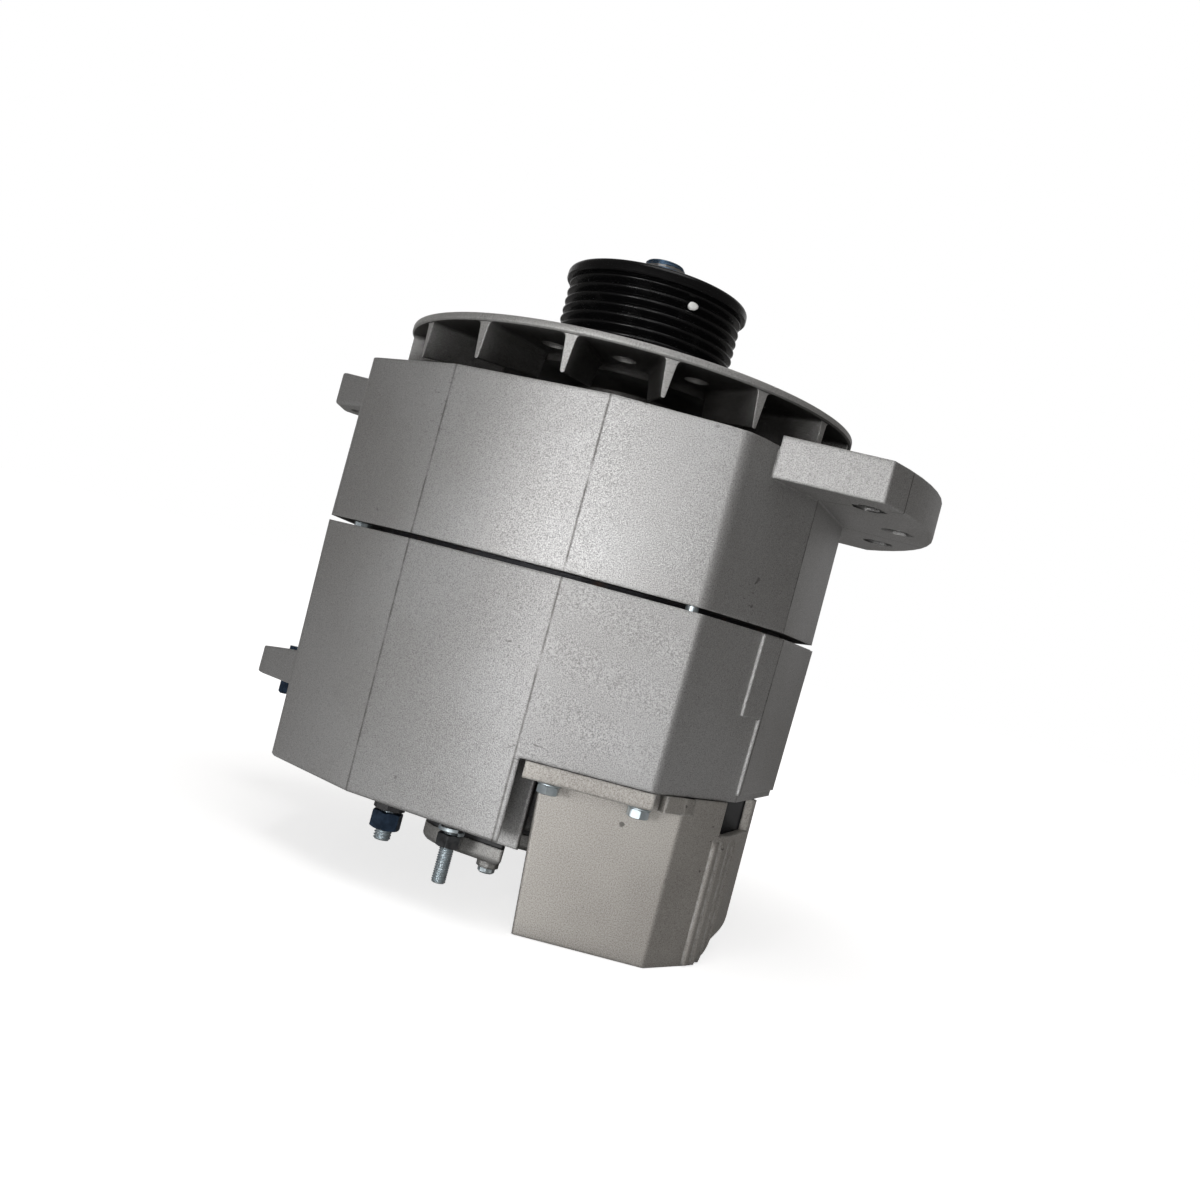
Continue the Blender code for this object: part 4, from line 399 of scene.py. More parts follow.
class Graph:
    """Builds the nodes of one tree."""

    def __init__(self, tree: bpy.types.NodeTree) -> None:
        """Keeps the tree that nodes are added to."""
        self.tree = tree

    def add(self, kind: str, **settings: object) -> bpy.types.Node:
        """Adds a node.

        Args:
            kind: Type of the node, without the ShaderNode prefix.
            **settings: Attributes to set on it.

        Returns:
            The node.
        """
        node = self.tree.nodes.new(f"ShaderNode{kind}")
        for key, value in settings.items():
            setattr(node, key, value)
        return node

    def feed(self, node: bpy.types.Node, **inputs: object) -> bpy.types.Node:
        """Sets or links inputs of a node.

        Args:
            node: The node.
            **inputs: Input names, with underscores for spaces, and their value or source socket.

        Returns:
            The same node.
        """
        for key, value in inputs.items():
            socket = node.inputs[key.replace("_", " ")]
            if isinstance(value, bpy.types.NodeSocket):
                self.tree.links.new(value, socket)
            else:
                socket.default_value = value
        return node

    def math(
        self, operation: str, first: Socket | float, second: Socket | float = 0.0, clamp: bool = False
    ) -> Socket:
        """Adds a Math node.

        Args:
            operation: Its operation.
            first: First operand.
            second: Second operand.
            clamp: Whether the result is kept between 0 and 1.

        Returns:
            Its result.
        """
        node = self.add("Math", operation=operation, use_clamp=clamp)
        for i, value in enumerate((first, second)):
            if isinstance(value, bpy.types.NodeSocket):
                self.tree.links.new(value, node.inputs[i])
            else:
                node.inputs[i].default_value = value
        return node.outputs[0]

    def window(self, value: Socket, low: float, high: float, start: float = 0.0, end: float = 1.0) -> Socket:
        """Maps a value smoothly from one range to another.

        Args:
            value: The value.
            low: Value that gives start.
            high: Value that gives end.
            start: Result at low.
            end: Result at high.

        Returns:
            The mapped value.
        """
        node = self.add("MapRange", interpolation_type="SMOOTHSTEP")
        self.feed(node, Value=value, From_Min=low, From_Max=high, To_Min=start, To_Max=end)
        return node.outputs["Result"]

    def noise(self, vector: Socket, scale: float, detail: float = 3.0, roughness: float = 0.55) -> Socket:
        """Adds a noise texture.

        Args:
            vector: Position to sample at.
            scale: Frequency in cycles per metre.
            detail: Octaves.
            roughness: Share of the finer octaves.

        Returns:
            Its value.
        """
        node = self.add("TexNoise")
        self.feed(node, Vector=vector, Scale=scale, Detail=detail, Roughness=roughness)
        return node.outputs["Fac"]

    def axis_distance(self, split: bpy.types.Node) -> Socket:
        """Distance from the shaft's axis, from a split position."""
        squares = [self.math("MULTIPLY", split.outputs[axis], split.outputs[axis]) for axis in "XY"]
        return self.math("SQRT", self.math("ADD", *squares))

    def direct_rays(self, seen: bpy.types.Node) -> Socket:
        """Mask of the rays that see a surface straight from the camera or through it."""
        return self.math("MAXIMUM", seen.outputs["Is Camera Ray"], seen.outputs["Is Transmission Ray"])

    def stretched(self, vector: Socket, scale: tuple[float, float, float]) -> Socket:
        """Scales a position by axis, which stretches what samples it.

        Args:
            vector: The position.
            scale: Factor along each axis.

        Returns:
            The scaled position.
        """
        node = self.add("VectorMath", operation="MULTIPLY")
        self.tree.links.new(vector, node.inputs[0])
        node.inputs[1].default_value = scale
        return node.outputs[0]

    def blend(self, amount: Socket | float, first: Socket | Colour, second: Socket | Colour) -> Socket:
        """Blends two colours.

        Args:
            amount: Share of the second.
            first: First colour.
            second: Second colour.

        Returns:
            The blended colour.
        """
        node = self.add("Mix", data_type="RGBA", blend_type="MIX")
        for i, value in ((0, amount), (6, first), (7, second)):
            if isinstance(value, bpy.types.NodeSocket):
                self.tree.links.new(value, node.inputs[i])
            elif isinstance(value, tuple):
                node.inputs[i].default_value = (*value, 1.0)
            else:
                node.inputs[i].default_value = value
        return node.outputs[2]

    def group(self, tree: bpy.types.NodeTree, **inputs: object) -> bpy.types.Node:
        """Places an effect group.

        Args:
            tree: The group's tree.
            **inputs: Its input names and their value or source socket.

        Returns:
            The group node.
        """
        node = self.add("Group", node_tree=tree)
        return self.feed(node, **inputs)


class Effects:
    """Shader node groups that several finishes share, each built once."""

    def __init__(self) -> None:
        """Builds every group."""
        self.blast = self._blast()
        self.edge = self._edge()
        self.scuff = self._scuff()
        self.corner = self._corner()
        self.lathe = self._lathe()
        self.recess = self._recess()

    @staticmethod
    def _open(
        name: str, inputs: Iterable[tuple[str, str, float]], outputs: Iterable[str]
    ) -> tuple[bpy.types.NodeTree, Graph, bpy.types.Node, bpy.types.Node]:
        """Starts a group.

        Args:
            name: Name of the group.
            inputs: Socket name, socket type and default of each input.
            outputs: Names of its float outputs.

        Returns:
            The tree, its graph, the input node and the output node.
        """
        tree = bpy.data.node_groups.new(name, "ShaderNodeTree")
        for label, kind, start in inputs:
            socket = tree.interface.new_socket(label, in_out="INPUT", socket_type=kind)
            if kind == "NodeSocketFloat":
                socket.default_value = start
        for label in outputs:
            tree.interface.new_socket(label, in_out="OUTPUT", socket_type="NodeSocketFloat")
        return tree, Graph(tree), tree.nodes.new("NodeGroupInput"), tree.nodes.new("NodeGroupOutput")

    def _blast(self) -> bpy.types.NodeTree:
        """Grain of shot-blasted metal: a fine height and a slow drift of tone.

        Returns:
            The group's tree.
        """
        tree, graph, start, end = self._open(
            "blasted grain",
            [("Position", "NodeSocketVector", 0), ("Fineness", "NodeSocketFloat", 2600.0)],
            ["Grain", "Drift", "Height"],
        )
        position, fineness = start.outputs["Position"], start.outputs["Fineness"]
        fine = graph.add("TexNoise")
        graph.feed(fine, Vector=position, Scale=fineness, Detail=2.0, Roughness=0.6)
        pits = graph.add("TexVoronoi", feature="F1")
        graph.feed(pits, Vector=position, Scale=fineness)
        drift = graph.math("ADD", graph.noise(position, 30.0, 3.0, 0.5), graph.noise(position, 8.0, 2.0, 0.5))
        dents = graph.math("MULTIPLY", pits.outputs["Distance"], 0.35)
        tree.links.new(graph.window(fine.outputs["Fac"], 0.3, 0.7), end.inputs["Grain"])
        tree.links.new(graph.window(drift, 0.75, 1.25), end.inputs["Drift"])
        tree.links.new(graph.math("ADD", fine.outputs["Fac"], dents), end.inputs["Height"])
        return tree

    def _edge(self) -> bpy.types.NodeTree:
        """Mask that is 1 along convex and concave edges: partly wear from handling, partly a painted
        highlight.

        Returns:
            The group's tree.
        """
        tree, graph, start, end = self._open(
            "worn and highlighted edges",
            [("Position", "NodeSocketVector", 0), ("Radius", "NodeSocketFloat", 0.0008)],
            ["Mask"],
        )
        bevel = graph.add("Bevel", samples=4)
        graph.feed(bevel, Radius=start.outputs["Radius"])
        geometry = graph.add("NewGeometry")
        dot = graph.add("VectorMath", operation="DOT_PRODUCT")
        tree.links.new(bevel.outputs["Normal"], dot.inputs[0])
        tree.links.new(geometry.outputs["Normal"], dot.inputs[1])
        bend = graph.window(dot.outputs["Value"], 0.995, 0.93)
        chips = graph.window(graph.noise(start.outputs["Position"], 420.0, 3.0), 0.35, 0.65)
        tree.links.new(graph.math("MULTIPLY", bend, chips, clamp=True), end.inputs["Mask"])
        return tree

    def _recess(self) -> bpy.types.NodeTree:
        """Mask of deep recesses, found by ambient occlusion, which paints shade into them.

        Returns:
            The group's tree.
        """
        tree, graph, start, end = self._open(
            "painted recess shade",
            [("Distance", "NodeSocketFloat", 0.02), ("Depth", "NodeSocketFloat", 0.75)],
            ["Mask"],
        )
        shelter = graph.add("AmbientOcclusion", samples=6)
        graph.feed(shelter, Distance=start.outputs["Distance"])
        hidden = graph.window(shelter.outputs["AO"], 0.75, 0.15)
        tree.links.new(graph.math("MULTIPLY", hidden, start.outputs["Depth"], clamp=True), end.inputs["Mask"])
        return tree

    def _scuff(self) -> bpy.types.NodeTree:
        """Mask of sparse short rub marks and small dents.

        Returns:
            The group's tree.
        """
        tree, graph, start, end = self._open(
            "scuffs",
            [("Position", "NodeSocketVector", 0), ("Amount", "NodeSocketFloat", 0.5)],
            ["Mask"],
        )
        position = start.outputs["Position"]
        streak = graph.noise(graph.stretched(position, (260.0, 260.0, 900.0)), 1.0, 2.0, 0.5)
        place = graph.noise(position, 24.0, 1.0, 0.5)
        marks = graph.math("MULTIPLY", graph.window(streak, 0.64, 0.72), graph.window(place, 0.63, 0.72))
        spots = graph.window(graph.noise(position, 230.0, 1.0, 0.4), 0.78, 0.83)
        both = graph.math("MAXIMUM", marks, spots)
        tree.links.new(graph.math("MULTIPLY", both, start.outputs["Amount"], clamp=True), end.inputs["Mask"])
        return tree

    def _corner(self) -> bpy.types.NodeTree:
        """Mask of the thin lines that run down the corners on both sides of each centre facet.

        Returns:
            The group's tree.
        """
        tree, graph, start, end = self._open(
            "corner lines",
            [
                ("Position", "NodeSocketVector", 0),
                ("Turn", "NodeSocketFloat", -21.6),
                ("Half angle", "NodeSocketFloat", 17.7),
                ("Width", "NodeSocketFloat", 0.0004),
            ],
            ["Mask"],
        )
        split = graph.add("SeparateXYZ")
        tree.links.new(start.outputs["Position"], split.inputs[0])
        back = graph.math("MULTIPLY", split.outputs["Y"], -1.0)
        angle = graph.math("DEGREES", graph.math("ARCTAN2", split.outputs["X"], back))
        shifted = graph.math("ADD", graph.math("SUBTRACT", angle, start.outputs["Turn"]), 405.0)
        folded = graph.math("SUBTRACT", graph.math("MODULO", shifted, 90.0), 45.0)
        away = graph.math("SUBTRACT", graph.math("ABSOLUTE", folded), start.outputs["Half angle"])
        reach = graph.axis_distance(split)
        distance = graph.math("MULTIPLY", graph.math("ABSOLUTE", graph.math("RADIANS", away)), reach)
        ragged = graph.window(graph.noise(start.outputs["Position"], 160.0, 3.0), 0.3, 0.6, 0.35, 1.0)
        line = graph.math("SUBTRACT", 1.0, graph.math("DIVIDE", distance, start.outputs["Width"]), clamp=True)
        outside = graph.window(reach, 0.084, 0.086)
        mask = graph.math("MULTIPLY", graph.math("MULTIPLY", line, ragged), outside, clamp=True)
        tree.links.new(mask, end.inputs["Mask"])
        return tree

    def _lathe(self) -> bpy.types.NodeTree:
        """Fine rings left by turning, round the shaft's axis.

        Returns:
            The group's tree.
        """
        tree, graph, start, end = self._open(
            "turning marks",
            [("Position", "NodeSocketVector", 0), ("Pitch", "NodeSocketFloat", 5200.0)],
            ["Shade", "Height"],
        )
        split = graph.add("SeparateXYZ")
        tree.links.new(start.outputs["Position"], split.inputs[0])
        reach = graph.axis_distance(split)
        ring = graph.math("MULTIPLY", graph.math("ADD", reach, split.outputs["Z"]), start.outputs["Pitch"])
        band = graph.add("TexNoise", noise_dimensions="1D")
        graph.feed(band, W=ring, Scale=1.0, Detail=2.0)
        tree.links.new(graph.window(band.outputs["Fac"], 0.3, 0.7), end.inputs["Shade"])
        tree.links.new(band.outputs["Fac"], end.inputs["Height"])
        return tree


@dataclass(frozen=True)
class Finish:
    """Base of every finish: the settings that stay the same all over the surface."""

    name: str
    roughness: float = 0.5
    metallic: float = 0.0
    specular: float = 0.5

    def start(self) -> tuple[bpy.types.Material, Graph, bpy.types.Node, Socket]:
        """Opens the material.

        Returns:
            The material, its graph, the Principled shader and the object-space position.
        """
        material = bpy.data.materials.new(self.name)
        material.use_nodes = True
        graph = Graph(material.node_tree)
        shader = material.node_tree.nodes["Principled BSDF"]
        shader.inputs["Roughness"].default_value = self.roughness
        shader.inputs["Metallic"].default_value = self.metallic
        shader.inputs["Specular IOR Level"].default_value = self.specular
        return material, graph, shader, graph.add("TexCoord").outputs["Object"]

    @staticmethod
    def raise_surface(
        graph: Graph,
        shader: bpy.types.Node,
        height: Socket,
        strength: float,
        distance: float,
        rounding: float = 0.0,
    ) -> None:
        """Feeds a height through a Bump node into the shader's normal.

        Args:
            graph: The material's graph.
            shader: The Principled shader.
            height: The height.
            strength: Strength of the bump.
            distance: Height in metres that a value of 1 stands for.
            rounding: Radius that the light sees on sharp edges, or 0 for none.
        """
        bump = graph.add("Bump")
        graph.feed(bump, Height=height, Strength=strength, Distance=distance)
        if rounding:
            soft = graph.feed(graph.add("Bevel", samples=4), Radius=rounding)
            graph.tree.links.new(soft.outputs["Normal"], bump.inputs["Normal"])
        graph.tree.links.new(bump.outputs["Normal"], shader.inputs["Normal"])


@dataclass(frozen=True)
class CastFinish(Finish):
    """Shot-blasted cast aluminium with a grain, a drift of tone, rub marks, edges lightened partly by wear
    and partly as a painted highlight, and painted shade in its recesses.
    """

    tone: Colour = (0.43, 0.43, 0.43)
    dark: Colour = (0.385, 0.382, 0.378)
    mark: Colour = (0.10, 0.095, 0.09)
    bright: Colour = (0.66, 0.66, 0.65)
    fineness: float = 2600.0
    bump: float = 0.35
    scuffs: float = 0.6
    # Painted shade in recesses: how far the occlusion looks, how strong it is and its colour
    recess_distance: float = 0.012
    recess_depth: float = 0.6
    painted_shade: Colour = (0.045, 0.042, 0.038)
    corner_lines: bool = False
    line_width: float = 0.0006
    line_share: float = 0.95
    rounding: float = 0.0013
    # Lighter edges, partly wear and partly a painted highlight: their radius and share
    edge_radius: float = 0.0009
    wear_and_highlight_share: float = 0.6
    speck_share: float = 0.30
    shade_share: float = 0.35
    swing: float = 0.06
    relief: float = 0.0002

    def build(self, effects: Effects) -> bpy.types.Material:
        """Builds the material.

        Args:
            effects: The shared node groups.

        Returns:
            The material.
        """
        material, graph, shader, position = self.start()
        blast = graph.group(effects.blast, Position=position, Fineness=self.fineness)
        scuff = graph.group(effects.scuff, Position=position, Amount=self.scuffs)
        edge = graph.group(effects.edge, Position=position, Radius=self.edge_radius)
        colour = graph.blend(blast.outputs["Drift"], self.dark, self.tone)
        speck = graph.math("MULTIPLY", graph.window(blast.outputs["Grain"], 0.55, 1.0), self.speck_share)
        colour = graph.blend(speck, colour, self.bright)
        shade = graph.math("MULTIPLY", graph.window(blast.outputs["Grain"], 0.45, 0.0), self.shade_share)
        colour = graph.blend(shade, colour, self.mark)
        # Edges lighten: partly worn metal, partly a painted highlight
        wear_and_highlight = graph.math("MULTIPLY", edge.outputs["Mask"], self.wear_and_highlight_share)
        colour = graph.blend(wear_and_highlight, colour, self.bright)
        colour = graph.blend(scuff.outputs["Mask"], colour, self.mark)
        # Painted shade: the recesses darken toward the shade colour where occlusion finds them
        recess = graph.group(effects.recess, Distance=self.recess_distance, Depth=self.recess_depth)
        colour = graph.blend(recess.outputs["Mask"], colour, self.painted_shade)
        rougher, smoother = self.roughness + self.swing, self.roughness - self.swing
        rough = graph.window(blast.outputs["Grain"], 0.0, 1.0, rougher, smoother)
        if self.corner_lines:
            line = graph.group(effects.corner, Position=position, Width=self.line_width)
            streak = graph.math("MULTIPLY", line.outputs["Mask"], self.line_share)
            colour = graph.blend(streak, colour, self.mark)
        graph.tree.links.new(colour, shader.inputs["Base Color"])
        graph.tree.links.new(rough, shader.inputs["Roughness"])
        height = blast.outputs["Height"]
        self.raise_surface(graph, shader, height, self.bump, self.relief, self.rounding)
        return material


@dataclass(frozen=True)
class PaintFinish(Finish):
    """Gloss paint with orange peel and dust in its hollows."""

    tone: Colour = (0.003, 0.003, 0.0033)
    dusty: Colour = (0.010, 0.010, 0.010)
    peel_scale: float = 520.0
    dust_scale: float = 90.0
    dust_share: float = 0.5
    # Lighter edges, partly wear and partly a painted highlight: their radius and share
    edge_radius: float = 0.0005
    wear_and_highlight_share: float = 0.5
    dulling: float = 0.2
    bump: float = 0.25
    relief: float = 0.0002

    def build(self, effects: Effects) -> bpy.types.Material:
        """Builds the material.

        Args:
            effects: The shared node groups.

        Returns:
            The material.
        """
        material, graph, shader, position = self.start()
        peel = graph.noise(position, self.peel_scale, 2.0, 0.5)
        dust = graph.window(graph.noise(position, self.dust_scale, 5.0, 0.65), 0.5, 0.75)
        edge = graph.group(effects.edge, Position=position, Radius=self.edge_radius)
        dust = graph.math("MULTIPLY", dust, self.dust_share)
        colour = graph.blend(dust, self.tone, self.dusty)
        # Edges lighten toward the dusty colour: partly worn paint, partly a painted highlight
        wear_and_highlight = graph.math("MULTIPLY", edge.outputs["Mask"], self.wear_and_highlight_share)
        colour = graph.blend(wear_and_highlight, colour, self.dusty)
        rough = graph.window(dust, 0.0, self.dust_share, self.roughness, self.roughness + self.dulling)
        graph.tree.links.new(colour, shader.inputs["Base Color"])
        graph.tree.links.new(rough, shader.inputs["Roughness"])
        self.raise_surface(graph, shader, peel, self.bump, self.relief)
        return material


@dataclass(frozen=True)
class MetalFinish(Finish):
    """Plated, turned or drawn metal with cloudy tone and fine marks."""

    tone: Colour = (0.5, 0.5, 0.5)
    other: Colour = (0.4, 0.4, 0.4)
    marks: float = 5200.0
    bump: float = 0.1
    cloud: float = 240.0
    swing: float = 0.06
    relief: float = 0.0001

    def build(self, effects: Effects) -> bpy.types.Material:
        """Builds the material.

        Args:
            effects: The shared node groups.

        Returns:
            The material.
        """
        material, graph, shader, position = self.start()
        lathe = graph.group(effects.lathe, Position=position, Pitch=self.marks)
        cloud = graph.window(graph.noise(position, self.cloud, 3.0, 0.6), 0.35, 0.65)
        colour = graph.blend(cloud, self.tone, self.other)
        graph.tree.links.new(colour, shader.inputs["Base Color"])
        change = graph.math("MULTIPLY", lathe.outputs["Shade"], 2 * self.swing)
        rough = graph.math("ADD", change, self.roughness - self.swing)
        graph.tree.links.new(rough, shader.inputs["Roughness"])
        self.raise_surface(graph, shader, lathe.outputs["Height"], self.bump, self.relief)
        return material


@dataclass(frozen=True)
class WireFinish(Finish):
    """Varnished copper wire, bundled round the axis."""

    tone: Colour = (0.36, 0.11, 0.035)
    shadow: Colour = (0.09, 0.025, 0.012)
    strands: float = 700.0
    drift_scale: float = 60.0
    bump: float = 0.8
    relief: float = 0.0008

    def build(self) -> bpy.types.Material:
        """Builds the material; the strands run round the shaft and drift a little.

        Returns:
            The material.
        """
        material, graph, shader, position = self.start()
        drift = graph.add("TexNoise")
        graph.feed(drift, Vector=position, Scale=self.drift_scale, Detail=2.0)
        wave = graph.add("TexWave", wave_type="BANDS", bands_direction="Z")
        graph.feed(wave, Vector=position, Scale=self.strands / 2, Distortion=3.0, Detail=1.0)
        wave.inputs["Detail Scale"].default_value = 0.4
        shade = graph.window(wave.outputs["Fac"], 0.1, 0.8)
        colour = graph.blend(shade, self.shadow, self.tone)
        varnish = graph.window(drift.outputs["Fac"], 0.35, 0.7, 0.0, 0.4)
        colour = graph.blend(varnish, colour, self.shadow)
        graph.tree.links.new(colour, shader.inputs["Base Color"])
        self.raise_surface(graph, shader, wave.outputs["Fac"], self.bump, self.relief)
        return material


@dataclass(frozen=True)
class LaminatedFinish(Finish):
    """Stacked iron sheets under varnish: lines across the axis, with a little rust bloom."""

    tone: Colour = (0.035, 0.036, 0.04)
    bloom: Colour = (0.09, 0.05, 0.03)
    sheet: float = 0.0005
    bloom_scale: float = 130.0
    bump: float = 0.6
    relief: float = 0.0002

    def build(self) -> bpy.types.Material:
        """Builds the material from the sheet pitch.

        Returns:
            The material.
        """
        material, graph, shader, position = self.start()
        wave = graph.add("TexWave", wave_type="BANDS", bands_direction="Z")
        # The wave repeats every pi / 10 over its scale, and one repeat stands for two sheets
        graph.feed(wave, Vector=position, Scale=math.pi / (10 * self.sheet) / 2, Distortion=0.3)
        bloom = graph.window(graph.noise(position, self.bloom_scale, 4.0, 0.6), 0.52, 0.72, 0.0, 0.6)
        graph.tree.links.new(graph.blend(bloom, self.tone, self.bloom), shader.inputs["Base Color"])
        self.raise_surface(graph, shader, wave.outputs["Fac"], self.bump, self.relief)
        return material


@dataclass(frozen=True)
class MouldedFinish(Finish):
    """Moulded plastic, rubber or carbon with a fine leathery grain."""

    tone: Colour = (0.022, 0.022, 0.024)
    dusty: Colour = (0.034, 0.033, 0.031)
    grain: float = 1800.0
    dust_scale: float = 70.0
    dust_share: float = 0.7
    dulling: float = 0.25
    bump: float = 0.4
    relief: float = 0.0002

    def build(self) -> bpy.types.Material:
        """Builds the material.

        Returns:
            The material.
        """
        material, graph, shader, position = self.start()
        grain = graph.noise(position, self.grain, 2.0, 0.6)
        cloud = graph.noise(position, self.dust_scale, 5.0, 0.6)
        dust = graph.window(cloud, 0.45, 0.75, 0.0, self.dust_share)
        rough = graph.window(dust, 0.0, self.dust_share, self.roughness, self.roughness + self.dulling)
        graph.tree.links.new(graph.blend(dust, self.tone, self.dusty), shader.inputs["Base Color"])
        graph.tree.links.new(rough, shader.inputs["Roughness"])
        self.raise_surface(graph, shader, grain, self.bump, self.relief)
        return material


class Finishes:
    """Every material of the alternator, by the surface it covers."""

    def __init__(self) -> None:
        """Builds the shared groups and then the materials."""
        effects = Effects()
        self.housing = CastFinish(
            "blasted housing casting", 0.52, 0.84, 0.4, corner_lines=True
        ).build(effects)
        self.fan = CastFinish(
            "blasted fan casting",
            0.54,
            0.75,
            0.4,
            tone=(0.48, 0.478, 0.47),
            dark=(0.42, 0.415, 0.405),
            # Deep painted shade in the pockets between the blades
            recess_distance=0.03,
            recess_depth=1.7,
            painted_shade=(0.028, 0.026, 0.024),
            rounding=0.0006,
        ).build(effects)
        self.box = CastFinish(
            "die cast regulator box",
            0.52,
            0.75,
            0.4,
            tone=(0.44, 0.42, 0.39),
            dark=(0.37, 0.35, 0.325),
            bump=0.12,
            scuffs=0.8,
        ).build(effects)
        self.cover = CastFinish(
            "die cast rear cover",
            0.5,
            0.75,
            0.4,
            tone=(0.42, 0.415, 0.40),
            dark=(0.33, 0.325, 0.315),
            bump=0.2,
        ).build(effects)
        self.pulley = PaintFinish("gloss black pulley", 0.24, 0.0, 0.3).build(effects)
        self.dab = PaintFinish(
            "white paint dab", 0.45, 0.0, 0.4, tone=(0.86, 0.86, 0.84), dusty=(0.7, 0.7, 0.68)
        ).build(effects)
        self.nose = MetalFinish(
            "deep blue zinc", 0.36, 0.8, 0.5, tone=(0.09, 0.15, 0.23), other=(0.05, 0.085, 0.13)
        ).build(effects)
        self.zinc = MetalFinish(
            "bright zinc plate", 0.4, 0.8, 0.5, tone=(0.56, 0.62, 0.65), other=(0.42, 0.48, 0.51)
        ).build(effects)
        self.blue = MetalFinish(
            "dark blue passivate", 0.34, 0.8, 0.5, tone=(0.045, 0.075, 0.125), other=(0.02, 0.035, 0.06)
        ).build(effects)
        self.oxide = MetalFinish(
            "dark oxide", 0.36, 0.8, 0.5, tone=(0.085, 0.088, 0.092), other=(0.04, 0.042, 0.045)
        ).build(effects)
        self.steel = MetalFinish(
            "turned steel", 0.30, 1.0, 0.5, tone=(0.46, 0.46, 0.47), other=(0.36, 0.36, 0.37), bump=0.2
        ).build(effects)
        self.sheet = MetalFinish(
            "pressed aluminium sheet",
            0.42,
            0.9,
            0.5,
            tone=(0.56, 0.56, 0.57),
            other=(0.46, 0.46, 0.47),
            cloud=90.0,
        ).build(effects)
        self.brass = MetalFinish(
            "pressed brass cage", 0.34, 1.0, 0.5, tone=(0.58, 0.40, 0.15), other=(0.42, 0.27, 0.10)
        ).build(effects)
        self.ring = MetalFinish(
            "polished slip ring", 0.22, 1.0, 0.5, tone=(0.72, 0.34, 0.19), other=(0.55, 0.24, 0.13)
        ).build(effects)
        self.wire = WireFinish("varnished winding", 0.32, 0.6, 0.5).build()
        self.iron = LaminatedFinish("laminated iron", 0.5, 0.5, 0.5).build()
        self.forging = MouldedFinish(
            "black varnished forging", 0.42, 0.3, 0.5, tone=(0.03, 0.031, 0.034)
        ).build()
        self.moulding = MouldedFinish("dark moulding", 0.5, 0.0, 0.5).build()
        self.carbon = MouldedFinish(
            "brush carbon", 0.6, 0.1, 0.4, tone=(0.03, 0.028, 0.027), dusty=(0.08, 0.05, 0.04), grain=900.0
        ).build()


# Assembly


@dataclass
class SubAssembly:
    """Base of the sub-assemblies: what they share is how a piece is dressed and reported."""

    finishes: Finishes
    body: Body = Body.HOUSING

    def settle(
        self,
        piece: bpy.types.Object,
        material: bpy.types.Material,
        slot: Slot,
        stands_for: Sequence[str] = (),
    ) -> bpy.types.Object:
        """Dresses a new piece and ties it to its body.

        Args:
            piece: The piece.
            material: Its finish.
            slot: The record's slot it belongs to; not used.
            stands_for: Solids of the frame that it replaces.

        Returns:
            The same piece.
        """
        piece.data.materials.clear()
        piece.data.materials.append(material)
        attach(piece, self.body.value)
        if stands_for:
            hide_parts(*stands_for)
        LOG.info("%s rides on %s", piece.name, self.body.value)
        return piece

    @staticmethod
    def dress(
        nodes: dict[str, bpy.types.Object], material: bpy.types.Material, names: Iterable[str]
    ) -> None:
        """Gives solids of the frame a finish.

        Args:
            nodes: The frame's solids by name.
            material: The finish.
            names: Which solids get it.
        """
        for name in names:
            for slot in nodes[name].material_slots:
                slot.material = material
            LOG.info("%s dressed in %s", name, material.name)


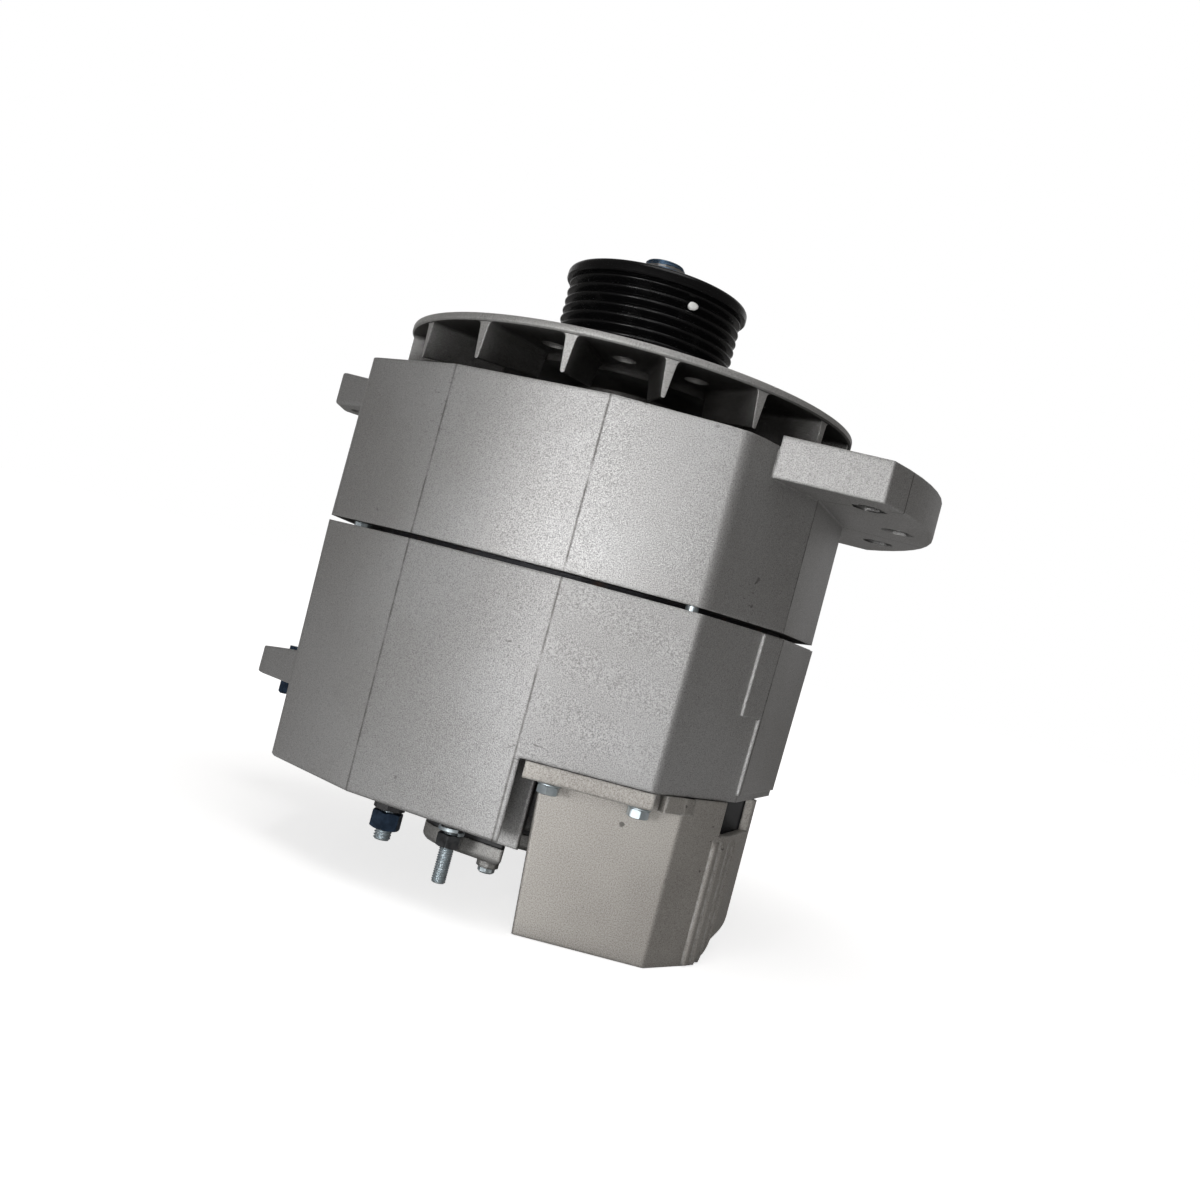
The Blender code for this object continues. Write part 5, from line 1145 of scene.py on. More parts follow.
@dataclass
class Fan(SubAssembly):
    """External cooling fan: a disc with a raised hub above and sixteen radial blades below."""

    body: Body = Body.ROTOR
    top: float = -0.0515
    radius: float = 0.0875
    rim: float = 0.0027
    hub_radius: float = 0.0245
    hub_rise: float = 0.0038
    hub_depth: float = 0.0142
    hub_fillet: float = 0.0019
    hub_fillet_middle: Point2 = (0.0006, 0.0012)
    hub_flare: float = 0.0035
    hub_flare_middle: Point2 = (0.0008, 0.0009)
    hub_flare_depth: float = 0.003
    step_ease: float = 0.0006
    rim_ease: float = 0.22
    root_sink: float = 0.4
    fillet_bend: Point2 = (0.42, 0.12)
    bore: float = 0.0113
    step_radius: float = 0.0535
    step_depth: float = 0.005
    blades: int = 16
    blade_turn: float = 6.6
    blade_inner: float = 0.055
    blade_outer: float = 0.0864
    inner_depth: float = 0.0122
    outer_depth: float = 0.0156
    root_half: float = 0.0018
    edge_half: float = 0.00075
    fillet: float = 0.0019
    hole_radius: float = 0.0042
    hole_circle: float = 0.066
    facets: int = 160
    hole_facets: int = 32
    crease: float = 38.0

    def disc(self, bm: bmesh.types.BMesh) -> None:
        """Adds the turned disc with its hub.

        Args:
            bm: The mesh to add to.
        """
        ease = self.rim * self.rim_ease
        under = self.top - self.rim
        step = self.top - self.step_depth
        fillet, flare = self.hub_fillet_middle, self.hub_flare_middle
        profile = [
            (self.bore, self.top + self.hub_rise),
            (self.hub_radius - ease, self.top + self.hub_rise),
            (self.hub_radius, self.top + self.hub_rise - ease),
            (self.hub_radius + fillet[0], self.top + fillet[1]),
            (self.hub_radius + self.hub_fillet, self.top),
            (self.radius - ease, self.top),
            (self.radius - ease * 0.3, self.top - ease * 0.3),
            (self.radius, self.top - ease),
            (self.radius, under + ease),
            (self.radius - ease, under),
            (self.step_radius + self.step_depth * 0.5, under),
            (self.step_radius + self.step_depth * 0.2, under - self.step_ease),
            (self.step_radius, step),
            (self.hub_radius + self.hub_flare, step),
            (self.hub_radius + flare[0], step - flare[1]),
            (self.hub_radius, step - self.hub_flare_depth),
            (self.hub_radius, self.top - self.hub_depth),
            (self.bore, self.top - self.hub_depth),
        ]
        add_turned(bm, profile, self.facets)

    def blade_section(self, depth: float, sink: float) -> list[Point2]:
        """Outline of a blade across its thickness.

        Args:
            depth: How far its free edge lies below the disc's top.
            sink: How far its root reaches up into the disc.

        Returns:
            Points of side offset and depth below the disc's top, root to edge and back.
        """
        under = self.rim
        far, near = (self.fillet * share for share in self.fillet_bend)
        half = [
            (self.root_half + self.fillet, sink),
            (self.root_half + self.fillet, under),
            (self.root_half + far, under + near),
            (self.root_half + near, under + far),
            (self.root_half, under + self.fillet),
            (self.edge_half, depth - self.edge_half * 0.7),
            (self.edge_half * 0.6, depth - self.edge_half * 0.15),
            (0.0, depth),
        ]
        return half + [(-side, down) for side, down in reversed(half[:-1])]

    def add_blade(self, bm: bmesh.types.BMesh, angle: float) -> None:
        """Adds one blade, its ends closed.

        Args:
            bm: The mesh to add to.
            angle: Where the blade stands, in degrees.
        """
        ahead, side = polar(1, angle), polar(1, angle + 90)
        stations = 9
        rings = []
        for i in range(stations + 1):
            share = i / stations
            radius = self.blade_inner + (self.blade_outer - self.blade_inner) * share
            depth = self.inner_depth + (self.outer_depth - self.inner_depth) * share
            ring = []
            for offset, down in self.blade_section(depth, self.rim * self.root_sink):
                ring.append(raised(ahead * radius + side * offset, self.top - down))
            rings.append(ring)
        add_rings(bm, rings, closed=False)

    def build(self) -> None:
        """Builds the disc with its holes, then joins the blades."""
        bm = bmesh.new()
        self.disc(bm)
        disc = make_object("fan disc", bm)
        cutters = bmesh.new()
        for i in range(self.blades):
            spot = polar(self.hole_circle, self.blade_turn + 360 / self.blades * (i + 0.5))
            high, low = self.top + self.rim, self.top - 2 * self.rim
            profile = [(0, high), (self.hole_radius, high), (self.hole_radius, low), (0, low)]
            add_turned(cutters, profile, self.hole_facets, (spot.x, spot.y))
        cut(disc, make_object("fan holes", cutters))
        bm = bmesh.new()
        bm.from_mesh(disc.data)
        bpy.data.objects.remove(disc)
        for i in range(self.blades):
            self.add_blade(bm, self.blade_turn + 360 / self.blades * i)
        fan = make_object("fan_casting", bm, self.crease)
        self.settle(fan, self.finishes.fan, Slot.CAST, ["fan"])


@dataclass
class PulleyEnd(SubAssembly):
    """Pulley, its nut and washer, and the shaft with its threaded nose."""

    body: Body = Body.ROTOR
    front: float = -0.0109
    length: float = 0.0365
    lip_radius: float = 0.0361
    ridge_radius: float = 0.0346
    groove_depth: float = 0.0027
    lip_width: float = 0.0056
    pitch: float = 0.00356
    grooves: int = 8
    ridge_flat: float = 0.0009
    ridge_crown: float = 0.62
    groove_ease: float = 0.0002
    lip_round: float = 0.4
    lip_ends: tuple[float, float, float] = (0.72, 0.82, 0.88)
    lip_chamfer: float = 0.0004
    edge: float = 0.0006
    rear_edge: Point2 = (0.0012, 0.0008)
    bore_edge: float = 0.0004
    recess_round: float = 0.001
    recess_radius: float = 0.0255
    recess_depth: float = 0.0115
    bore: float = 0.0113
    rear_bore_radius: float = 0.0275
    rear_bore_depth: float = 0.012
    hub_radius: float = 0.0205
    nut_flats: float = 0.024
    nut_low: float = -0.0188
    nut_height: float = 0.013
    washer_radius: float = 0.0155
    washer_low: float = -0.0221
    washer_thickness: float = 0.003
    thread_radius: float = 0.008
    thread_pitch: float = 0.0015
    thread_proud: float = 0.00012
    thread_clearance: float = 0.0003
    nose_low: float = -0.0205
    dab_angle: float = 23.3
    dab_height: float = -0.0211
    dab_width: float = 0.0042
    dab_rise: float = 0.0030
    dab_layers: tuple[Point2, ...] = (
        (0.8, -0.0020),
        (1.0, -0.0006),
        (0.97, 0.0),
        (0.8, 0.0002),
        (0.45, 0.0003),
    )
    dab_points: int = 28
    dab_wobble: float = 0.05
    dab_crease: float = 60.0
    facets: int = 144
    crease: float = 28.0

    def groove_profile(self) -> list[Point2]:
        """Profile of the ridges, their corners eased, and the grooves, their bottoms round.

        Returns:
            Points of radius and height down the outside.
        """
        ease = self.groove_ease
        crown = self.ridge_flat * self.ridge_crown
        points: list[Point2] = []
        root = self.ridge_radius - self.groove_depth
        for i in range(self.grooves + 1):
            ridge = self.front - self.lip_width - self.ridge_flat / 2 - self.pitch * i
            for bend in (50, 30, 10, -10, -30, -50):
                turn = math.radians(bend)
                reach = self.ridge_radius - crown * (1 - math.cos(turn))
                points.append((reach, ridge + crown * math.sin(turn)))
            if i < self.grooves:
                middle = ridge - self.pitch / 2
                points += [(root + ease, middle + ease), (root, middle), (root + ease, middle - ease)]
        return points

    def build_pulley(self) -> None:
        """Turns the pulley with its lip, grooves, recess and rear bore."""
        round_over = self.lip_width * self.lip_round
        profile = []
        for i in range(7):
            bend = math.radians(90 * i / 6)
            reach = self.lip_radius - round_over * (1 - math.sin(bend))
            profile.append((reach, self.front - round_over * (1 - math.cos(bend))))
        reaches = (self.lip_radius, self.lip_radius - self.lip_chamfer, self.ridge_radius - self.edge)
        for reach, share in zip(reaches, self.lip_ends):
            profile.append((reach, self.front - self.lip_width * share))
        profile += self.groove_profile()
        rear = self.front - self.length
        web = rear + self.rear_bore_depth
        floor = self.front - self.recess_depth
        profile += [
            (self.ridge_radius - self.edge, rear + self.rear_edge[1]),
            (self.ridge_radius - self.rear_edge[0], rear),
            (self.rear_bore_radius + self.bore_edge, rear),
            (self.rear_bore_radius, rear + self.bore_edge),
            (self.rear_bore_radius, web),
            (self.hub_radius, web),
            (self.hub_radius, rear),
            (self.bore, rear),
            (self.bore, floor),
            (self.recess_radius - self.recess_round, floor),
            (self.recess_radius, floor + self.recess_round),
            (self.recess_radius, self.front - self.edge),
            (self.recess_radius + self.edge, self.front),
        ]
        bm = bmesh.new()
        add_turned(bm, profile, self.facets)
        wheel = make_object("pulley_wheel", bm, self.crease)
        self.settle(wheel, self.finishes.pulley, Slot.PAINT, ["pulley"])

    def build_dab(self) -> None:
        """Lays a small oval drop of marking paint over a ridge and into the groove below it."""
        bm = bmesh.new()
        half_angle = math.degrees(self.dab_width / self.ridge_radius) / 2
        rings = []
        for share, lift in self.dab_layers:
            ring = []
            for i in range(self.dab_points):
                bend = math.tau * i / self.dab_points
                wobble = 1 + self.dab_wobble * math.sin(3 * bend + 0.6)
                angle = self.dab_angle + half_angle * share * wobble * math.cos(bend)
                height = self.dab_height + self.dab_rise / 2 * share * wobble * math.sin(bend)
                ring.append(raised(polar(self.ridge_radius + lift, angle), height))
            rings.append(ring)
        add_rings(bm, rings, closed=False)
        dab = make_object("paint_dab", bm, self.dab_crease)
        self.settle(dab, self.finishes.dab, Slot.PAINT)

    def build_nut(self) -> None:
        """Builds the shaft nut and the washer under it."""
        bore = self.thread_radius + self.thread_clearance
        bm = bmesh.new()
        add_hexagon(bm, (0, 0), self.nut_flats, self.nut_low, self.nut_low + self.nut_height, 0.0, bore)
        self.settle(make_object("shaft_nut", bm, HARD), self.finishes.nose, Slot.ZINC, ["pulley_nut"])
        bm = bmesh.new()
        top = self.washer_low + self.washer_thickness
        add_washer(bm, (0, 0), bore, self.washer_radius, self.washer_low, top)
        self.settle(make_object("shaft_washer", bm, HARD), self.finishes.zinc, Slot.ZINC, ["pulley_washer"])

    def build_nose(self) -> None:
        """Threads the shaft's nose, over the plain bar of the frame's shaft."""
        bm = bmesh.new()
        radius = self.thread_radius + self.thread_proud
        add_thread(bm, (0, 0), radius, self.thread_pitch, self.nose_low, 0.0)
        self.settle(make_object("shaft_nose", bm, SMOOTH), self.finishes.nose, Slot.STEEL)

    def build(self) -> None:
        """Builds every piece of the pulley end."""
        self.build_pulley()
        self.build_dab()
        self.build_nut()
        self.build_nose()


@dataclass
class Castings(SubAssembly):
    """The two main castings and the rear cover, with their edges rounded."""

    wall_edge: float = 0.0005
    cover_edge: float = 0.0004
    ear_radius: float = 0.099
    ear_low: float = -0.0822
    ear_hole_circle: float = 0.112
    ear_hole_angles: tuple[float, ...] = (51.0, 73.5, 96.0)
    lug_side: float = -0.097
    lug_tip: float = -0.1187
    pivot: Point2 = (-0.1075, 0.043)
    hole_reach: float = 0.0075
    round_width: float = 0.0014

    def off_holes(self, middle: Vector) -> bool:
        """Tells whether a place is clear of the ear's holes and the lugs' pivot hole.

        Args:
            middle: The place.

        Returns:
            True where no hole is near.
        """
        centres = [polar(self.ear_hole_circle, angle) for angle in self.ear_hole_angles]
        centres.append(Vector(self.pivot))
        return all((middle.xy - centre).length > self.hole_reach for centre in centres)

    def on_ear(self, middle: Vector) -> bool:
        """Tells whether an edge's middle lies on the outline of the ear."""
        outside = middle.xy.length > self.ear_radius and middle.x > 0
        return outside and middle.z > self.ear_low and self.off_holes(middle)

    def on_lug(self, middle: Vector) -> bool:
        """Tells whether an edge's middle lies on the outline of a lug."""
        return middle.x < self.lug_side and self.off_holes(middle)

    def shape_front(self, bm: bmesh.types.BMesh) -> None:
        """Trims the front lug's tip, then rounds the outlines of the ear and the lug.

        Args:
            bm: The casting's mesh.
        """
        geometry = bm.verts[:] + bm.edges[:] + bm.faces[:]
        plane = Vector((self.lug_tip, 0, 0))
        made = bmesh.ops.bisect_plane(
            bm, geom=geometry, plane_co=plane, plane_no=(-1, 0, 0), clear_outer=True
        )
        edges = [item for item in made["geom_cut"] if isinstance(item, bmesh.types.BMEdge)]
        bmesh.ops.holes_fill(bm, edges=edges)
        round_edges(bm, self.on_ear, self.round_width)
        round_edges(bm, self.on_lug, self.round_width)

    def shape_rear(self, bm: bmesh.types.BMesh) -> None:
        """Rounds the outline of the rear lug."""
        round_edges(bm, self.on_lug, self.round_width)

    def build(self) -> None:
        """Copies each solid with rounded edges and dresses it."""
        for node, name, width, material, shape in (
            ("drive_end_housing", "front_casting", self.wall_edge, self.finishes.housing, self.shape_front),
            ("slip_ring_end_housing", "rear_casting", self.wall_edge, self.finishes.housing, self.shape_rear),
            ("rear_cover_plate", "cover_casting", self.cover_edge, self.finishes.cover, None),
        ):
            self.settle(eased_copy(node, name, width, shape), material, Slot.CAST)


@dataclass
class RegulatorBox(SubAssembly):
    """Open-topped cover of the regulator: leaning left side, flange, horn, window and four beads."""

    top: float = -0.1903
    depth: float = 0.0568
    wall: float = 0.003
    left_top: float = 0.003
    left_bottom: float = 0.0075
    front: float = 0.080
    back: float = 0.0285
    flat_angle: float = 47.1
    flat_reach: float = 0.09226
    facet_angle: float = 68.4
    facet_reach: float = 0.08812
    foot_radius: float = 0.013
    corner_radius: float = 0.0012
    blend_radius: float = 0.012
    flange: tuple[float, float, float, float] = (-0.0023, 0.0404, -0.09132, -0.077)
    flange_thickness: float = 0.0054
    horn_x: float = 0.0448
    horn_length: float = 0.0149
    window_start: float = 0.0675
    window_back: float = -0.0325
    window_height: float = 0.0116
    bead_places: tuple[float, ...] = (-0.0074, -0.0029, 0.0029, 0.0092)
    bead_half: float = 0.0013
    bead_proud: float = 0.0011
    bead_drop: float = 0.0135
    bead_fade: float = 0.003
    bead_start: float = 0.0004
    bead_root: float = 0.0005
    blend_reach: float = 0.004
    blend_root: float = 0.0012
    edge_round: float = 0.0005
    wider_corner: float = 1.5
    facet_length: float = 0.032
    corner_steps: int = 6
    foot_steps: int = 12
    bead_rows: int = 8
    fade_shares: tuple[float, ...] = (0.0, 0.4, 0.75, 1.0)

    @staticmethod
    def meet(first: Point2, second: Point2) -> Vector:
        """Point where two lines meet, each given by its normal's angle and its reach."""
        rows = Matrix((polar(1, first[0]), polar(1, second[0])))
        return rows.inverted() @ Vector((first[1], second[1]))

    def foot(self, height: float) -> float:
        """How far the rounded foot draws the right side in at a height."""
        rise = min(max(height - (self.top - self.depth), 0.0), self.foot_radius)
        return self.foot_radius - math.sqrt(self.foot_radius**2 - (self.foot_radius - rise) ** 2)

    def foot_height(self, turn: float) -> float:
        """Height on the rounded foot, a turn in degrees up from its lowest line."""
        return self.top - self.depth + self.foot_radius * (1 - math.cos(math.radians(turn)))

    def lean(self, height: float) -> float:
        """Where the leaning left side stands at a height."""
        share = (self.top - height) / self.depth
        return self.left_top + (self.left_bottom - self.left_top) * share

    def outline(self, height: float, inset: float) -> list[Vector]:
        """Outline of the box at a height.

        Args:
            height: The height.
            inset: How far it lies inside the outer face.

        Returns:
            Points round the box, its corners rounded.
        """
        left = self.lean(height) + inset
        flat = (self.flat_angle, self.flat_reach - inset)
        facet = (self.facet_angle, self.facet_reach - inset)
        drawn = (self.facet_angle, self.facet_reach - inset - self.foot(height))
        front, back, side = (0.0, self.front - inset), (180.0, -self.back - inset), (270.0, -left)
        pairs = ((side, front), (front, flat), (flat, facet), (drawn, back), (back, side))
        corners = [self.meet(first, second) for first, second in pairs]
        small = self.corner_radius
        radii = [small, small * self.wider_corner, self.blend_radius, small, small]
        points: list[Vector] = []
        for i, corner in enumerate(corners):
            before = (corners[i - 1] - corner).normalized()
            after = (corners[(i + 1) % 5] - corner).normalized()
            half = before.angle(after) / 2
            reach = radii[i] / math.tan(half)
            start, end = corner + before * reach, corner + after * reach
            for step in range(self.corner_steps + 1):
                share = step / self.corner_steps
                arriving = start.lerp(corner, share)
                points.append(arriving.lerp(corner.lerp(end, share), share))
        return points

    def shell(self, inset: float, low: float, high: float) -> bmesh.types.BMesh:
        """Solid of the box's outline.

        Args:
            inset: How far it lies inside the outer face.
            low: Height of the lower end.
            high: Height of the upper end.

        Returns:
            The mesh.
        """
        heights = [low]
        for step in range(self.foot_steps + 1):
            height = self.foot_height(90 * step / self.foot_steps)
            if height > low + MERGE:
                heights.append(height)
        heights.append(high)
        rings = [[raised(spot, height) for spot in self.outline(height, inset)] for height in heights]
        bm = bmesh.new()
        add_rings(bm, rings, closed=False)
        return bm

    @staticmethod
    def prism(plan: Sequence[Point2], low: float, high: float) -> bmesh.types.BMesh:
        """Straight solid over a plan.

        Args:
            plan: Corners of the plan.
            low: Height of the lower end.
            high: Height of the upper end.

        Returns:
            The mesh.
        """
        bm = bmesh.new()
        rings = [[Vector((x, y, height)) for x, y in plan] for height in (low, high)]
        add_rings(bm, rings, closed=False)
        return bm

    def add_bead(self, bm: bmesh.types.BMesh, place: float) -> None:
        """Adds one rounded bead down the right side.

        Args:
            bm: The mesh to add to.
            place: Distance from the corner of the two right-hand faces, negative on the front one.
        """
        corner = self.meet((self.flat_angle, self.flat_reach), (self.facet_angle, self.facet_reach))
        angle = self.facet_angle if place > 0 else self.flat_angle
        normal, along = polar(1, angle), polar(1, angle + 90)
        end = self.top - self.bead_drop
        heights = [self.top - self.depth + self.bead_start]
        heights += [self.foot_height(90 * row / self.bead_rows) for row in range(2, self.bead_rows + 1)]
        heights += [end - self.bead_fade * (1 - share) for share in self.fade_shares]
        slope = max(place, 0.0) / self.facet_length
        sink = -self.blend_root if abs(place) < self.blend_reach else -self.bead_root
        level = (sink + self.bead_root) / 2
        tail = len(self.fade_shares) - 1
        full = len(heights) - 1 - tail
        rings = []
        for k, height in enumerate(heights):
            fade = math.sqrt(1 - (max(0, k - full) / tail) ** 2)
            base = corner + along * place - normal * (self.foot(height) * slope)
            spots = [base + along * self.bead_half + normal * sink]
            for step in range(self.corner_steps + 1):
                turn = math.pi * step / self.corner_steps
                lift = self.bead_proud * fade * math.sin(turn) + level
                spots.append(base + along * (self.bead_half * math.cos(turn)) + normal * lift)
            spots.append(base - along * self.bead_half + normal * sink)
            rings.append([raised(spot, height) for spot in spots])
        add_rings(bm, rings, closed=False)

    def hollow(self) -> bpy.types.Object:
        """Cuts the room and the window from the plain box.

        Returns:
            The open box.
        """
        floor = self.top - self.depth
        box = make_object("box shell", self.shell(0, floor, self.top))
        room = self.shell(self.wall, floor + self.wall, self.top + self.wall)
        cut(box, make_object("box room", room))
        start, end, far = self.window_start, self.window_back, 2 * self.front
        plan = [(start, -far), (far, -far), (far, end), (start, end)]
        window = self.prism(plan, self.top - self.window_height, self.top + self.wall)
        cut(box, make_object("box window", window))
        return box

    def flange_and_horn(self) -> list[bmesh.types.BMesh]:
        """Builds the flange in front and the horn beside the window.

        Returns:
            Their meshes.
        """
        under = self.top - self.flange_thickness
        left, right, near, far = self.flange
        flange = [(left, near), (right, near), (right, far), (left, far)]
        normal, along = polar(1, self.flat_angle), polar(1, self.flat_angle + 90)
        start = (self.horn_x - normal.x * self.flat_reach) / along.x
        end = start + self.horn_length
        outer, inner = normal * self.flat_reach, normal * (self.flat_reach - self.wall)
        corners = (outer + along * start, outer + along * end, inner + along * end, inner + along * start)
        horn = [(spot.x, spot.y) for spot in corners]
        return [self.prism(plan, under, self.top) for plan in (flange, horn)]

    def build(self) -> None:
        """Joins flange, horn and beads to the open box and darkens the room inside as painted shade."""
        shell = self.hollow()
        bm = bmesh.new()
        bm.from_mesh(shell.data)
        bpy.data.objects.remove(shell)
        for extra in self.flange_and_horn():
            round_edges(extra, lambda middle: True, self.edge_round, 2)
            mesh = bpy.data.meshes.new("extra")
            extra.to_mesh(mesh)
            extra.free()
            bm.from_mesh(mesh)
        for place in self.bead_places:
            self.add_bead(bm, place)
        box = make_object("box_casting", bm)
        self.settle(box, self.finishes.box, Slot.CAST, ["regulator_box"])
        # Painted shade: the walls of the room inside take the dark moulding finish, which stands in for the
        # shade in the box
        box.data.materials.append(self.finishes.moulding)
        for face in box.data.polygons:
            face.material_index = 1 if self.in_room(face.center) else 0

    def in_room(self, spot: Vector) -> bool:
        """Tells whether a place lies on the walls of the room inside the box.

        Args:
            spot: The place.

        Returns:
            True inside the box.
        """
        depth = self.wall - CLEARANCE
        flat = spot.xy.dot(polar(1, self.flat_angle)) < self.flat_reach - depth
        facet = spot.xy.dot(polar(1, self.facet_angle)) < self.facet_reach - depth
        left = spot.x > self.lean(spot.z) + depth
        ends = -self.front + depth < spot.y < -self.back - depth
        return flat and facet and left and ends and spot.z > self.top - self.depth + depth


@dataclass
class Terminals(SubAssembly):
    """Output and signal studs with their nuts, below the skirt."""

    output: Point2 = (-0.0437, -0.0545)
    signal: Point2 = (-0.0205, -0.0655)
    nut_top: float = -0.2235
    stud_top: float = -0.1853
    nut_clearance: float = 0.0002
    coarse_radius: float = 0.0027
    coarse_pitch: float = 0.001
    fine_pitch: float = 0.0008
    output_nut: tuple[float, float, float] = (0.0096, 0.0063, 0.003)
    signal_nut: tuple[float, float, float] = (0.008, 0.0046, 0.0025)
    washer_bore: float = 0.00385
    washer_radius: float = 0.0046
    washer_height: float = 0.0022
    washer_start: float = 40.0
    washer_sweep: float = 352.0
    washer_gap: float = 0.0001
    output_below: float = 0.0038
    signal_below: float = 0.0123
    output_turn: float = 22.0
    signal_turn: float = 25.0

    def stud(
        self,
        name: str,
        spot: Point2,
        sizes: tuple[float, float, float],
        below: float,
        turn: float,
        finish: bpy.types.Material,
    ) -> None:
        """Builds one stud and its nut.

        Args:
            name: Which terminal.
            spot: Where its axis stands.
            sizes: Nut width across flats, nut height and stud radius.
            below: Length of stud below the nut.
            turn: Angle of a corner of the nut.
            finish: Finish of the nut.
        """
        flats, height, radius = sizes
        end = self.nut_top - height - below
        pitch = self.coarse_pitch if radius > self.coarse_radius else self.fine_pitch
        bm = bmesh.new()
        add_thread(bm, spot, radius, pitch, end, self.stud_top)
        stud = make_object(f"{name}_threaded_stud", bm, SMOOTH)
        self.settle(stud, self.finishes.zinc, Slot.ZINC, [f"{name}_stud"])
        bm = bmesh.new()
        bore = radius + self.nut_clearance
        add_hexagon(bm, spot, flats, self.nut_top - height, self.nut_top, turn, bore)
        self.settle(make_object(f"{name}_hex_nut", bm, HARD), finish, Slot.BLUE, [f"{name}_nut"])

    def build(self) -> None:
        """Builds both terminals and the spring washer of the signal stud."""
        blue, oxide = self.finishes.blue, self.finishes.oxide
        self.stud("output", self.output, self.output_nut, self.output_below, self.output_turn, blue)
        self.stud("signal", self.signal, self.signal_nut, self.signal_below, self.signal_turn, oxide)
        self.spring_washer()

    def spring_washer(self) -> None:
        """Winds one open turn of square wire above the signal nut."""
        bm = bmesh.new()
        steps = 44
        thickness = self.washer_height / 2
        rings = []
        for i in range(steps + 1):
            share = i / steps
            low = self.nut_top + self.washer_gap + (self.washer_height - thickness) * share
            angle = self.washer_start + self.washer_sweep * share
            inner, outer = polar(self.washer_bore, angle), polar(self.washer_radius, angle)
            section = ((inner, low), (outer, low), (outer, low + thickness), (inner, low + thickness))
            rings.append([raised(spot, height, self.signal) for spot, height in section])
        add_rings(bm, rings, closed=False)
        self.settle(make_object("signal_spring_washer", bm, HARD), self.finishes.zinc, Slot.ZINC)


@dataclass
class BoxBolts(SubAssembly):
    """The two hexagon bolts with washers below the flange of the regulator box."""

    flats: float = 0.0066
    head: float = 0.0029
    shank: float = 0.0022
    washer_radius: float = 0.0039
    washer_thickness: float = 0.0006
    washer_clearance: float = 0.0003
    facets: int = 24
    turns: tuple[float, float] = (22.0, 40.0)

    def build(self) -> None:
        """Builds each bolt's head and washer where the frame's bolt and washer are."""
        for i, turn in enumerate(self.turns, start=1):
            low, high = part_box(f"box_bolt_{i}")
            spot = ((low.x + high.x) / 2, (low.y + high.y) / 2)
            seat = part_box(f"box_washer_{i}")[1].z
            under = seat - self.washer_thickness
            bm = bmesh.new()
            add_hexagon(bm, spot, self.flats, under - self.head, under, turn)
            middle = under - self.head / 2
            shank = [(0, middle), (self.shank, middle), (self.shank, high.z), (0, high.z)]
            add_turned(bm, shank, self.facets, spot)
            bolt = make_object(f"flange_bolt_{i}", bm, HARD)
            self.settle(bolt, self.finishes.zinc, Slot.ZINC, [f"box_bolt_{i}"])
            bm = bmesh.new()
            add_washer(bm, spot, self.shank + self.washer_clearance, self.washer_radius, under, seat)
            washer = make_object(f"flange_washer_{i}", bm, HARD)
            self.settle(washer, self.finishes.zinc, Slot.ZINC, [f"box_washer_{i}"])


@dataclass
class Inside(SubAssembly):
    """Everything that keeps its solid and only takes a finish."""

    nodes: dict[str, bpy.types.Object] = field(default_factory=dict)

    def build(self) -> None:
        """Dresses every solid that no piece stands for."""
        finishes = self.finishes
        bearings = [f"{end}_bearing" for end in ("front", "rear")]
        screws = [f"retainer_screw_{i}" for i in (1, 2, 3)] + [f"cover_screw_{i}" for i in (1, 2)]
        table: list[tuple[bpy.types.Material, Iterable[str]]] = [
            (finishes.steel, ("shaft", "pulley_key", "fan_spacer", "bearing_retainer")),
            (finishes.steel, [f"{bearing}_inner_ring" for bearing in bearings]),
            (finishes.steel, [f"{bearing}_outer_ring" for bearing in bearings]),
            (finishes.steel, [f"diode_{level}_{i}" for level in ("upper", "lower") for i in (1, 2)]),
            (finishes.brass, [f"{bearing}_balls" for bearing in bearings]),
            (finishes.wire, ("stator_winding_front", "stator_winding_rear", "field_coil")),
            (finishes.iron, ("stator_core",)),
            (finishes.forging, ("claw_pole_front", "claw_pole_rear")),
            (finishes.ring, ("slip_ring_1", "slip_ring_2")),
            (finishes.carbon, ("brush_1", "brush_2")),
            (finishes.sheet, ("rectifier_sink_upper", "rectifier_sink_lower")),
            (finishes.moulding, ("slip_ring_sleeve", "brush_holder", "voltage_regulator", "cover_gasket")),
            (finishes.moulding, [f"{end}_bush_{i}" for end in ("output", "signal") for i in (1, 2)]),
            (finishes.zinc, screws),
            (finishes.zinc, [f"through_bolt_{i}" for i in (1, 2, 3)]),
            (finishes.blue, ("lug_set_screw",)),
        ]
        for material, names in table:
            self.dress(self.nodes, material, names)


